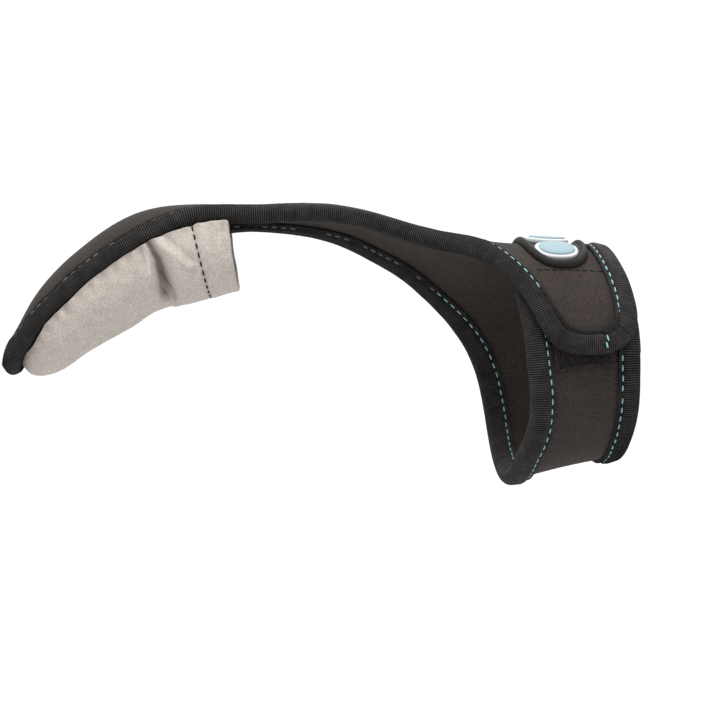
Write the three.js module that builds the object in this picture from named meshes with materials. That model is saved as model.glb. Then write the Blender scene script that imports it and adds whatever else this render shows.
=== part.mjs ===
import * as THREE from "three";

// Right-hand casting glove, millimetres, +Z up.
// X runs along the wrist towards the forearm. The origin is the middle of the wrist hollow.
// The whole glove lies on one bent sheet. A place on it is (run, angle): run is the length
// along the back line from the fingertip, angle is the way round from the top line,
// positive towards the thumb side (-Y).

const RAD = Math.PI / 180;

// Named sizes
const NEOPRENE = 2.5;
const TAPE_WALL = 0.9;
const GAP = 0.3;
const TAPE_LEG = 6.0;
const TAPE_LEG_FINGER = 4.2;
const TAPE_LEG_WIDENS = [95, 130];
const TAPE_FOLD_REACH = 0.95;
const TAPE_FOLD_CORNER = 1.0;
const LIFT = 5.45;
const SUEDE = 1.1;
const HEM_EXTRA = 0.9;
const LOOP_THICK = 1.1;
const HOOK_THICK = 1.0;
const RUN_AT_ORIGIN = 192.3;
const BADGE_RUN = RUN_AT_ORIGIN - 5.2;
const BADGE_ANGLE = 12;
const BADGE_HALF = [10.3, 21];
const PEBBLE_RIM_HALF = [7.2, 5.2];
const PEBBLE_HALF = [5.8, 3.8];
const PEBBLE_STEP = 17.8;
const FLAP_RADIUS = 38;

// Back line of the glove: the middle of the neoprene at angle 0.
// columns: run, x, y, z, turn in plan (degrees)
const BACK_LINE = [
  [0.0, -160.9, 24.3, 0.1, 12],
  [2.3, -161.9, 24.5, 2.2, 12],
  [4.6, -162.3, 24.6, 4.5, 12],
  [7.1, -162.0, 24.6, 6.9, 12],
  [10.4, -160.6, 24.3, 9.8, 12],
  [13.8, -159.0, 23.9, 12.7, 12],
  [18.2, -157.0, 23.5, 16.7, 12],
  [23.3, -154.7, 23.0, 21.0, 12],
  [27.6, -152.2, 22.5, 24.5, 12],
  [32.6, -149.0, 21.8, 28.3, 12],
  [38.1, -145.3, 21.0, 32.1, 12],
  [43.6, -141.2, 20.1, 35.6, 12],
  [48.4, -137.5, 19.3, 38.6, 12],
  [53.3, -133.8, 18.5, 41.4, 12],
  [57.3, -130.4, 17.8, 43.5, 12],
  [61.3, -127.1, 17.1, 45.3, 12],
  [65.0, -123.7, 16.3, 46.6, 12],
  [70.3, -118.7, 15.3, 47.7, 12],
  [77.4, -111.8, 13.8, 48.3, 12],
  [84.6, -104.8, 12.3, 48.4, 12],
  [91.8, -97.9, 10.8, 48.2, 12],
  [99.0, -91.0, 9.3, 47.9, 12],
  [109.7, -80.6, 7.1, 47.5, 12],
  [116.8, -73.7, 5.6, 47.2, 12],
  [123.9, -66.8, 4.1, 46.5, 11.2],
  [131.0, -60.1, 2.9, 45.3, 9.4],
  [138.3, -53.1, 1.9, 43.4, 7.6],
  [145.9, -45.9, 1.0, 41.2, 5.6],
  [153.3, -38.7, 0.4, 39.1, 3.7],
  [161.1, -31.1, 0.1, 37.4, 1.7],
  [166.0, -26.3, 0.0, 36.8, 0.4],
  [172.7, -19.6, 0.0, 36.3, 0],
  [182.3, -10.0, 0.0, 35.9, 0],
  [192.3, 0.0, 0.0, 35.5, 0],
  [200.3, 8.0, 0.0, 34.9, 0],
  [207.3, 15.0, 0.0, 34.3, 0],
  [216.3, 24.0, 0.0, 33.5, 0],
];

// Cross section: half height and half depth of the oval, and how much of the flap's lift acts.
// columns: run, half height, half depth, lift share
const SECTION = [
  [0.0, 9.3, 9.3, 0],
  [4.6, 9.6, 9.6, 0],
  [10.4, 10.1, 10.1, 0],
  [18.2, 10.8, 10.8, 0],
  [27.6, 11.7, 11.7, 0],
  [38.0, 12.7, 12.7, 0],
  [48.4, 12.9, 12.9, 0],
  [61.0, 13.4, 13.4, 0],
  [70.0, 13.6, 13.6, 0],
  [77.4, 14.5, 14.5, 0],
  [84.6, 17.0, 17.0, 0],
  [91.8, 23.0, 23.0, 0],
  [99.0, 30.0, 30.0, 0],
  [109.7, 36.0, 36.0, 0],
  [124.0, 37.0, 37.0, 0],
  [146.0, 37.0, 37.0, 0],
  [154.0, 36.5, 36.0, 0.15],
  [161.0, 35.2, 33.5, 0.6],
  [168.0, 33.5, 30.4, 0.97],
  [172.7, 32.8, 29.0, 1],
  [176.6, 32.2, 28.0, 1],
  [192.3, 29.9, 27.3, 1],
  [208.3, 27.8, 26.5, 1],
  [218.3, 26.6, 26.0, 1],
];

// Outline of the neoprene cut. columns: run, angle (degrees). Corners of the net are named.
const TIP_END = [
  [2.6, -41], [1.2, -31], [0.3, -19], [0.0, -6], [0.3, 7], [1.2, 19], [2.6, 29],
];
const NEAR_EDGE = [
  [2.6, 29], [4.6, 39], [7.0, 45.5], [9.5, 49], [13.8, 53], [18.2, 58], [23.3, 63.5],
  [27.6, 66], [32.6, 66], [38.0, 65.5], [43.6, 66.5], [48.4, 67.5], [53.3, 67.5],
  [57.3, 67], [61.3, 66], [65.0, 63.5], [70.3, 58], [77.4, 46], [84.6, 35], [91.8, 27.5],
  [99.0, 23], [109.7, 16.5], [116.8, 11.5], [124.0, 7], [131.0, 3.5], [138.3, 1.5],
  [144.5, 2.5], [150.3, 6], [156.2, 12], [161.3, 19.5], [164.7, 26.5], [167.5, 33],
  [170.3, 40.5],
];
const FLAP_DISTAL = [
  [170.3, 40.5], [173.2, 48.5], [175.5, 57], [177.7, 66], [179.8, 73.4], [182.4, 79],
];
const FLAP_END = [
  [182.4, 79], [186.1, 82.4], [190.5, 83.8], [195.0, 84.2], [198.9, 83.6], [201.9, 81.6],
  [203.9, 78.4],
];
const PROXIMAL_EDGE = [
  [203.9, 78.4], [205.2, 74.5], [206.0, 69], [206.0, 59], [205.5, 49], [204.7, 37], [204.1, 27],
  [203.9, 10], [204.3, -10], [205.3, -30], [207.2, -60], [208.6, -90], [209.2, -120],
  [209.2, -150], [209.0, -190], [208.5, -216], [208.6, -233], [208.4, -247], [208.0, -261],
  [207.9, -279], [207.5, -300], [206.4, -320], [205.1, -330], [202.4, -335.5],
];
const STRAP_END = [
  [202.4, -335.5], [198.8, -337.6], [192.1, -338.2], [184.8, -338.2], [180.4, -337], [177.3, -333],
];
const STRAP_DISTAL = [
  [177.3, -333], [175.3, -326], [174.2, -311], [175.1, -294], [175.4, -283], [175.9, -272],
  [176.6, -262], [177.3, -252], [177.5, -241], [177.0, -231], [175.4, -216], [175.5, -190],
  [176.1, -160], [176.6, -130], [176.1, -108], [174.2, -90], [170.8, -76],
];
const FAR_EDGE = [
  [170.8, -76], [166.8, -66], [162.3, -57], [156.3, -49], [149.0, -43.5], [136.0, -38.5],
  [124.0, -33.5], [109.7, -28], [99.0, -29.5], [91.8, -36.5], [84.6, -51], [77.4, -69],
  [70.3, -81], [61.3, -87], [48.4, -88.5], [38.0, -87], [27.6, -83.5], [23.3, -79.5],
  [18.2, -73], [13.8, -67], [9.5, -62], [7.0, -57.5], [4.6, -51], [2.6, -41],
];
const JUNCTION_ROW = [
  [170.8, -76], [173.4, -64], [175.3, -46], [175.9, -28], [176.0, -8], [175.3, 12], [173.5, 27],
  [170.3, 40.5],
];

// Finger pocket rows. columns: run, depth and shift of the pocket's lowest point from the
// back line, widest half width, measured in the section at that run
const POCKET_ROWS = [
  [4.8, 6.2, -5.4, 9.6],
  [7.4, 9.6, -5.2, 9.9],
  [10.4, 12.8, -5.2, 10.3],
  [14.2, 15.9, -5.9, 10.8],
  [18.2, 18.1, -6.2, 11.3],
  [23.0, 20.1, -5.9, 12.0],
  [28.0, 22.0, -5.2, 12.5],
  [38.0, 25.1, -4.3, 13.2],
  [48.0, 26.7, -2.6, 13.4],
  [52.5, 27.0, -1.4, 13.5],
  [57.0, 27.8, 0.2, 13.6],
  [61.0, 28.5, 0.9, 13.7],
  [70.0, 28.5, 1.9, 13.7],
  [77.4, 27.7, 2.2, 13.6],
  [84.6, 25.9, 2.7, 13.3],
  [91.0, 23.7, 3.6, 13.0],
];
const POCKET_RUNS = [
  4.8, 7.4, 10.4, 14.2, 18.2, 23.0, 28.0, 33.0, 38.0, 43.0, 48.0, 52.5, 56.5, 60.0, 63.0, 66.0,
  69.0, 72.0, 75.5, 79.5, 82.4, 83.2, 87.0, 91.0,
];
const POCKET_HEM_RUN = 83.0;

// Where the suede starts off the neoprene's edge: inside the tape's fold at the fingertip and
// beyond it further back. columns: run, outward, upward
const POCKET_SEAM = [
  [0.0, -0.5, -3.35],
  [6.0, -0.5, -3.35],
  [9.0, 0.6, -3.0],
  [12.0, 1.65, -2.5],
  [14.5, 1.75, -1.3],
  [18.0, 1.85, -0.05],
  [24.0, 1.85, 0.0],
  [68.0, 1.85, 0.0],
  [76.0, 2.45, 0.0],
  [84.0, 3.0, 0.0],
  [91.0, 3.05, 0.0],
];

// A smooth curve through the rows of a table, with the slope of its neighbours at each row.
function smoothColumn(rows, column) {
  const xs = rows.map((r) => r[0]);
  const ys = rows.map((r) => r[column]);
  const n = xs.length;
  const slope = ys.map((_, i) => {
    if (i === 0) return (ys[1] - ys[0]) / (xs[1] - xs[0]);
    if (i === n - 1) return (ys[n - 1] - ys[n - 2]) / (xs[n - 1] - xs[n - 2]);
    const h0 = xs[i] - xs[i - 1];
    const h1 = xs[i + 1] - xs[i];
    const d0 = (ys[i] - ys[i - 1]) / h0;
    const d1 = (ys[i + 1] - ys[i]) / h1;
    return (d0 * h1 + d1 * h0) / (h0 + h1);
  });
  return (x) => {
    if (x <= xs[0]) return ys[0] + slope[0] * (x - xs[0]);
    if (x >= xs[n - 1]) return ys[n - 1] + slope[n - 1] * (x - xs[n - 1]);
    let i = 0;
    while (x > xs[i + 1]) i += 1;
    const h = xs[i + 1] - xs[i];
    const t = (x - xs[i]) / h;
    const t2 = t * t;
    const t3 = t2 * t;
    return (
      (2 * t3 - 3 * t2 + 1) * ys[i] +
      (t3 - 2 * t2 + t) * h * slope[i] +
      (-2 * t3 + 3 * t2) * ys[i + 1] +
      (t3 - t2) * h * slope[i + 1]
    );
  };
}

const backX = smoothColumn(BACK_LINE, 1);
const backY = smoothColumn(BACK_LINE, 2);
const backZ = smoothColumn(BACK_LINE, 3);
const backTurn = smoothColumn(BACK_LINE, 4);
const halfHeight = smoothColumn(SECTION, 1);
const halfDepth = smoothColumn(SECTION, 2);
const liftShare = smoothColumn(SECTION, 3);

// 0 below the first value, 1 above the second, smooth in between
function ramp(value, low, high) {
  const t = Math.min(1, Math.max(0, (value - low) / (high - low)));
  return t * t * (3 - 2 * t);
}

// The frame of the back line: along it, out of the glove, and towards the thumb side.
// At the wrist the sections stand square to X.
function backFrame(run) {
  const at = new THREE.Vector3(backX(run), backY(run), backZ(run));
  const turn = backTurn(run) * RAD;
  const side = new THREE.Vector3(-Math.sin(turn), -Math.cos(turn), 0);
  const along = new THREE.Vector3(
    backX(run + 0.4) - backX(run - 0.4),
    backY(run + 0.4) - backY(run - 0.4),
    backZ(run + 0.4) - backZ(run - 0.4),
  );
  along.addScaledVector(side, -along.dot(side)).normalize();
  const level = new THREE.Vector3(Math.cos(turn), -Math.sin(turn), 0);
  along.lerp(level, Math.min(1, Math.max(0, liftShare(run)))).normalize();
  const out = new THREE.Vector3().crossVectors(side, along);
  return { at, along, out, side };
}

// The flap's free half stands off by the strap, the closure and the tapes under it.
function flapLift(angle) {
  return LIFT * ramp(angle, -22, 16);
}

// A place on the middle of the bent sheet
function sheetPoint(run, angle) {
  const { at, out, side } = backFrame(run);
  const a = angle * RAD;
  const share = Math.min(1, Math.max(0, liftShare(run)));
  const lift = flapLift(angle) * share;
  const topLift = flapLift(0) * share;
  const up = halfHeight(run) * (Math.cos(a) - 1) + lift * Math.cos(a) - topLift;
  const across = halfDepth(run) * Math.sin(a) + lift * Math.sin(a);
  return at.addScaledVector(out, up).addScaledVector(side, across);
}

// Its two slopes and its outward normal
function sheetFrame(run, angle) {
  const byRun = sheetPoint(run + 0.1, angle).sub(sheetPoint(run - 0.1, angle));
  byRun.multiplyScalar(5);
  const byAngle = sheetPoint(run, angle + 0.2).sub(sheetPoint(run, angle - 0.2));
  byAngle.multiplyScalar(2.5);
  const normal = new THREE.Vector3().crossVectors(byAngle, byRun).normalize();
  return { byRun, byAngle, normal };
}

// A place off the sheet by a height along its normal
function offSheet(run, angle, height) {
  const { normal } = sheetFrame(run, angle);
  return sheetPoint(run, angle).addScaledVector(normal, height);
}

// Places along a chain of outline points at given shares of its length, even if a count is given
function spread(points, shares) {
  const stops = Array.isArray(shares)
    ? shares
    : Array.from({ length: shares + 1 }, (_, i) => i / shares);
  const curve = new THREE.CatmullRomCurve3(
    points.map((p) => new THREE.Vector3(p[0], p[1] * 0.5, 0)),
    false,
    "centripetal",
  );
  const fine = [];
  for (let i = 0; i <= 400; i += 1) {
    const v = curve.getPoint(i / 400);
    fine.push([v.x, v.y / 0.5]);
  }
  const lengths = [0];
  for (let i = 1; i < fine.length; i += 1) {
    const a = sheetPoint(fine[i - 1][0], fine[i - 1][1]);
    const b = sheetPoint(fine[i][0], fine[i][1]);
    lengths.push(lengths[i - 1] + a.distanceTo(b));
  }
  const result = [];
  let at = 0;
  for (const stop of stops) {
    const target = lengths[400] * stop;
    while (at < 399 && lengths[at + 1] < target) at += 1;
    const part = (target - lengths[at]) / Math.max(1e-9, lengths[at + 1] - lengths[at]);
    const t = Math.min(1, Math.max(0, part));
    result.push([
      fine[at][0] + t * (fine[at + 1][0] - fine[at][0]),
      fine[at][1] + t * (fine[at + 1][1] - fine[at][1]),
    ]);
  }
  return result;
}

// The place of a given angle on a chain that only falls or only rises in angle
function atAngle(points, angle) {
  const fine = spread(points, 300);
  for (let i = 1; i < fine.length; i += 1) {
    const low = Math.min(fine[i - 1][1], fine[i][1]);
    const high = Math.max(fine[i - 1][1], fine[i][1]);
    if (angle >= low && angle <= high && high > low) {
      const t = (angle - fine[i - 1][1]) / (fine[i][1] - fine[i - 1][1]);
      return [fine[i - 1][0] + t * (fine[i][0] - fine[i - 1][0]), angle];
    }
  }
  return Math.abs(fine[0][1] - angle) < Math.abs(fine[300][1] - angle) ? fine[0] : fine[300];
}

function mix(a, b, t) {
  return [a[0] + (b[0] - a[0]) * t, a[1] + (b[1] - a[1]) * t];
}

// A closed mesh from corner positions and triangles, turned to face out
function closedMesh(name, positions, triangles, material) {
  let volume = 0;
  for (const [a, b, c] of triangles) {
    volume += positions[a].dot(new THREE.Vector3().crossVectors(positions[b], positions[c])) / 6;
  }
  const index = [];
  for (const [a, b, c] of triangles) {
    if (volume < 0) index.push(a, c, b);
    else index.push(a, b, c);
  }
  const geometry = new THREE.BufferGeometry();
  const flat = new Float32Array(positions.length * 3);
  positions.forEach((p, i) => flat.set([p.x, p.y, p.z], i * 3));
  geometry.setAttribute("position", new THREE.BufferAttribute(flat, 3));
  geometry.setIndex(index);
  geometry.computeVertexNormals();
  const mesh = new THREE.Mesh(geometry, material);
  mesh.name = name;
  return mesh;
}

// A plate from its outer and inner corner positions and the quads between them
function plate(name, outer, inner, quads, material) {
  const count = outer.length;
  const positions = outer.concat(inner);
  const triangles = [];
  const edges = new Map();
  for (const [a, b, c, d] of quads) {
    for (const [p, q, r] of [[a, b, c], [a, c, d]]) {
      triangles.push([p, q, r]);
      triangles.push([p + count, r + count, q + count]);
      for (const [s, e] of [[p, q], [q, r], [r, p]]) edges.set(`${s},${e}`, [s, e]);
    }
  }
  for (const [s, e] of edges.values()) {
    if (edges.has(`${e},${s}`)) continue;
    triangles.push([e, s, s + count]);
    triangles.push([e, s + count, e + count]);
  }
  return closedMesh(name, positions, triangles, material);
}

// The net of the neoprene: the strip's rows and the band's columns share the junction row.
// The strip's rows stand closer at the fingertip and where it widens into the band.
// columns: rows, spacing (mm)
const ROW_SPACING = [[6, 2.3], [15, 4.6], [7, 8.0], [11, 4.7]];
const ROWS_LONG = ROW_SPACING.reduce((sum, [rows]) => sum + rows, 0);
const CELLS_ACROSS = 10;
const BAND_CELLS_STRAP = 31;
const BAND_CELLS_FLAP = 7;
const BAND_ROWS = 5;

function buildNet() {
  const places = [];
  const quads = [];
  const add = (place) => places.push(place) - 1;

  const tip = spread(TIP_END, CELLS_ACROSS);
  const stops = [0];
  for (const [rows, spacing] of ROW_SPACING) {
    for (let i = 0; i < rows; i += 1) stops.push(stops[stops.length - 1] + spacing);
  }
  const shares = stops.map((stop) => stop / stops[ROWS_LONG]);
  const near = spread(NEAR_EDGE, shares);
  const far = spread(FAR_EDGE.slice().reverse(), shares);
  const junction = spread(JUNCTION_ROW, CELLS_ACROSS);
  const strip = [];
  for (let i = 0; i <= ROWS_LONG; i += 1) {
    const u = shares[i];
    const tipShare = (1 - u) ** 14;
    const endShare = u ** 9;
    const row = [];
    for (let j = 0; j <= CELLS_ACROSS; j += 1) {
      const v = j / CELLS_ACROSS;
      const place = mix(far[i], near[i], v);
      const tipFlat = mix(tip[0], tip[CELLS_ACROSS], v);
      const endFlat = mix(junction[0], junction[CELLS_ACROSS], v);
      for (const k of [0, 1]) {
        place[k] += tipShare * (tip[j][k] - tipFlat[k]);
        place[k] += endShare * (junction[j][k] - endFlat[k]);
      }
      row.push(add(place));
    }
    strip.push(row);
  }

  const strapSide = spread(STRAP_DISTAL, BAND_CELLS_STRAP);
  const flapSide = spread(FLAP_DISTAL, BAND_CELLS_FLAP);
  const strapEnd = spread(STRAP_END.slice().reverse(), BAND_ROWS);
  const flapEnd = spread(FLAP_END, BAND_ROWS);
  const distal = [];
  for (let i = 0; i < strapSide.length - 1; i += 1) distal.push({ place: strapSide[i] });
  for (let j = 0; j <= CELLS_ACROSS; j += 1) {
    distal.push({ place: junction[j], shared: strip[ROWS_LONG][j] });
  }
  for (let i = 1; i < flapSide.length; i += 1) distal.push({ place: flapSide[i] });
  const last = distal.length - 1;
  const band = [];
  for (let i = 0; i <= last; i += 1) {
    const top = distal[i].place;
    let bottom = atAngle(PROXIMAL_EDGE, top[1]);
    if (i === 0) bottom = strapEnd[BAND_ROWS];
    if (i === last) bottom = flapEnd[BAND_ROWS];
    const strapShare = Math.max(0, 1 - i / 3.5) ** 2;
    const flapShare = Math.max(0, 1 - (last - i) / 4.5) ** 2;
    const column = [];
    for (let j = 0; j <= BAND_ROWS; j += 1) {
      const v = j / BAND_ROWS;
      const place = mix(top, bottom, v);
      const strapFlat = mix(strapEnd[0], strapEnd[BAND_ROWS], v);
      const flapFlat = mix(flapEnd[0], flapEnd[BAND_ROWS], v);
      for (const k of [0, 1]) {
        place[k] += strapShare * (strapEnd[j][k] - strapFlat[k]);
        place[k] += flapShare * (flapEnd[j][k] - flapFlat[k]);
      }
      column.push(j === 0 && distal[i].shared !== undefined ? distal[i].shared : add(place));
    }
    band.push(column);
  }

  for (let i = 0; i < ROWS_LONG; i += 1) {
    for (let j = 0; j < CELLS_ACROSS; j += 1) {
      quads.push([strip[i][j], strip[i][j + 1], strip[i + 1][j + 1], strip[i + 1][j]]);
    }
  }
  for (let i = 0; i < last; i += 1) {
    for (let j = 0; j < BAND_ROWS; j += 1) {
      quads.push([band[i][j], band[i + 1][j], band[i + 1][j + 1], band[i][j + 1]]);
    }
  }

  // The outline as one loop of net corners
  const loop = [];
  for (let j = 0; j <= CELLS_ACROSS; j += 1) loop.push(strip[0][j]);
  for (let i = 1; i <= ROWS_LONG; i += 1) loop.push(strip[i][CELLS_ACROSS]);
  const nearCorner = BAND_CELLS_STRAP + CELLS_ACROSS;
  for (let i = nearCorner + 1; i <= last; i += 1) loop.push(band[i][0]);
  for (let j = 1; j <= BAND_ROWS; j += 1) loop.push(band[last][j]);
  for (let i = last - 1; i >= 0; i -= 1) loop.push(band[i][BAND_ROWS]);
  for (let j = BAND_ROWS - 1; j >= 0; j -= 1) loop.push(band[0][j]);
  for (let i = 1; i <= BAND_CELLS_STRAP; i += 1) loop.push(band[i][0]);
  for (let i = ROWS_LONG - 1; i >= 1; i -= 1) loop.push(strip[i][0]);
  return { places, quads, loop };
}

function netPlate(name, places, quads, high, low, material) {
  const outer = places.map(([run, angle]) => offSheet(run, angle, high));
  const inner = places.map(([run, angle]) => offSheet(run, angle, low));
  return plate(name, outer, inner, quads, material);
}

// A patch on the sheet between two angles, with the runs of its two sides at each of them
function patch(name, runs, angles, cells, high, low, material) {
  const [startRuns, endRuns] = runs;
  const places = [];
  const quads = [];
  for (let i = 0; i <= cells[0]; i += 1) {
    for (let j = 0; j <= cells[1]; j += 1) {
      const t = i / cells[0];
      const from = startRuns[0] + (endRuns[0] - startRuns[0]) * t;
      const to = startRuns[1] + (endRuns[1] - startRuns[1]) * t;
      places.push([from + ((to - from) * j) / cells[1], angles[0] + (angles[1] - angles[0]) * t]);
    }
  }
  const wide = cells[1] + 1;
  for (let i = 0; i < cells[0]; i += 1) {
    for (let j = 0; j < cells[1]; j += 1) {
      const k = i * wide + j;
      quads.push([k, k + 1, k + wide + 1, k + wide]);
    }
  }
  return netPlate(name, places, quads, high, low, material);
}

// Edge tape: a folded section carried round the whole outline. Its legs follow the sheet.
function edgeTape(name, net, material) {
  const { places, loop } = net;
  const count = loop.length;
  const inside = NEOPRENE / 2 + GAP;
  const outside = inside + TAPE_WALL;
  const rings = [];
  for (let i = 0; i < count; i += 1) {
    const here = places[loop[i]];
    const before = places[loop[(i + count - 1) % count]];
    const after = places[loop[(i + 1) % count]];
    const tangent = sheetPoint(after[0], after[1]).sub(sheetPoint(before[0], before[1]));
    const { normal } = sheetFrame(here[0], here[1]);
    tangent.addScaledVector(normal, -tangent.dot(normal)).normalize();
    const outward = new THREE.Vector3().crossVectors(tangent, normal);
    const widened = ramp(here[0], TAPE_LEG_WIDENS[0], TAPE_LEG_WIDENS[1]);
    const leg = TAPE_LEG_FINGER + (TAPE_LEG - TAPE_LEG_FINGER) * widened;

    // walk in from the edge over the sheet
    const walk = [[here[0], here[1]]];
    for (let step = 1; step <= 4; step += 1) {
      const [run, angle] = walk[walk.length - 1];
      const { byRun, byAngle } = sheetFrame(run, angle);
      const a = byRun.dot(byRun);
      const b = byRun.dot(byAngle);
      const c = byAngle.dot(byAngle);
      const p = -outward.dot(byRun);
      const q = -outward.dot(byAngle);
      const det = a * c - b * b;
      const d = [(p * c - q * b) / det, (a * q - b * p) / det];
      const size = byRun.clone().multiplyScalar(d[0]).addScaledVector(byAngle, d[1]).length();
      const share = leg / 4 / size;
      walk.push([run + d[0] * share, angle + d[1] * share]);
    }
    const half = walk[2];
    const full = walk[4];
    const edge = sheetPoint(here[0], here[1]);
    const cap = (along, height) => edge.clone()
      .addScaledVector(outward, along)
      .addScaledVector(normal, height);
    rings.push([
      offSheet(full[0], full[1], outside),
      offSheet(half[0], half[1], outside),
      cap(0.1, outside),
      cap(TAPE_FOLD_REACH, outside - TAPE_FOLD_CORNER),
      cap(TAPE_FOLD_REACH, -outside + TAPE_FOLD_CORNER),
      cap(0.1, -outside),
      offSheet(half[0], half[1], -outside),
      offSheet(full[0], full[1], -outside),
      offSheet(full[0], full[1], -inside),
      offSheet(half[0], half[1], -inside),
      cap(GAP, -inside),
      cap(GAP, inside),
      offSheet(half[0], half[1], inside),
      offSheet(full[0], full[1], inside),
    ]);
  }
  const wide = rings[0].length;
  const positions = rings.flat();
  const triangles = [];
  for (let i = 0; i < count; i += 1) {
    const next = ((i + 1) % count) * wide;
    const here = i * wide;
    for (let j = 0; j < wide; j += 1) {
      const k = (j + 1) % wide;
      triangles.push([here + j, next + j, next + k]);
      triangles.push([here + j, next + k, here + k]);
    }
  }
  return closedMesh(name, positions, triangles, material);
}

// A soft-cornered pad on the flap. profile rows: inset, height; the last height fills the top.
function pad(name, centre, half, power, around, fill, profile, material) {
  const ring = (inset, share, height) => {
    const points = [];
    for (let i = 0; i < around; i += 1) {
      const t = (i / around) * 2 * Math.PI;
      const c = Math.cos(t);
      const s = Math.sin(t);
      const size = (Math.abs(c) ** power + Math.abs(s) ** power) ** (-1 / power);
      const x = (half[0] - inset) * c * size * share;
      const w = (half[1] - inset) * s * size * share;
      points.push(offSheet(centre[0] + x, centre[1] + w / FLAP_RADIUS / RAD, height));
    }
    return points;
  };
  const rings = [];
  const base = profile[0];
  for (const share of fill.slice().reverse()) rings.push(ring(base[0], share, base[1]));
  for (const [inset, height] of profile) rings.push(ring(inset, 1, height));
  const top = profile[profile.length - 1];
  for (const share of fill) rings.push(ring(top[0], share, top[1]));
  const positions = rings.flat();
  const triangles = [];
  for (let r = 0; r + 1 < rings.length; r += 1) {
    for (let i = 0; i < around; i += 1) {
      const a = r * around + i;
      const b = r * around + ((i + 1) % around);
      triangles.push([a, b, b + around]);
      triangles.push([a, b + around, a + around]);
    }
  }
  const low = positions.push(offSheet(centre[0], centre[1], base[1])) - 1;
  const high = positions.push(offSheet(centre[0], centre[1], top[1])) - 1;
  const lastRing = (rings.length - 1) * around;
  for (let i = 0; i < around; i += 1) {
    const j = (i + 1) % around;
    triangles.push([low, j, i]);
    triangles.push([high, lastRing + i, lastRing + j]);
  }
  return closedMesh(name, positions, triangles, material);
}

// Finger pocket
const pocketDepth = smoothColumn(POCKET_ROWS, 1);
const pocketShift = smoothColumn(POCKET_ROWS, 2);
const pocketWidth = smoothColumn(POCKET_ROWS, 3);
const seamOut = smoothColumn(POCKET_SEAM, 1);
const seamUp = smoothColumn(POCKET_SEAM, 2);

// Half of the pocket's section, from under the tape's fold to the lowest point, by its length
function pocketHalf(across, up, depth, width) {
  const middle = Math.min(-0.52 * depth, up - 0.4);
  const low = depth + middle;
  let high = depth / 2;
  let from = Math.acos(Math.min(0.98, Math.max(0.02, (up - middle) / high)));
  let wide = across / Math.sin(from);
  if (wide > width) {
    wide = Math.max(width, across + 0.2);
    from = Math.asin(across / wide);
    high = (up - middle) / Math.cos(from);
  }
  const steps = 60;
  const curve = [];
  const lengths = [0];
  for (let i = 0; i <= steps; i += 1) {
    const a = from + ((Math.PI - from) * i) / steps;
    const c = Math.cos(a);
    curve.push([wide * Math.sin(a), middle + (c > 0 ? high : low) * c]);
    if (i === 0) continue;
    const [x0, y0] = curve[i - 1];
    const [x1, y1] = curve[i];
    lengths.push(lengths[i - 1] + Math.hypot(x1 - x0, y1 - y0));
  }
  return (t) => {
    const target = lengths[steps] * t;
    let i = 0;
    while (i < steps - 1 && lengths[i + 1] < target) i += 1;
    return mix(curve[i], curve[i + 1], (target - lengths[i]) / (lengths[i + 1] - lengths[i]));
  };
}

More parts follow.
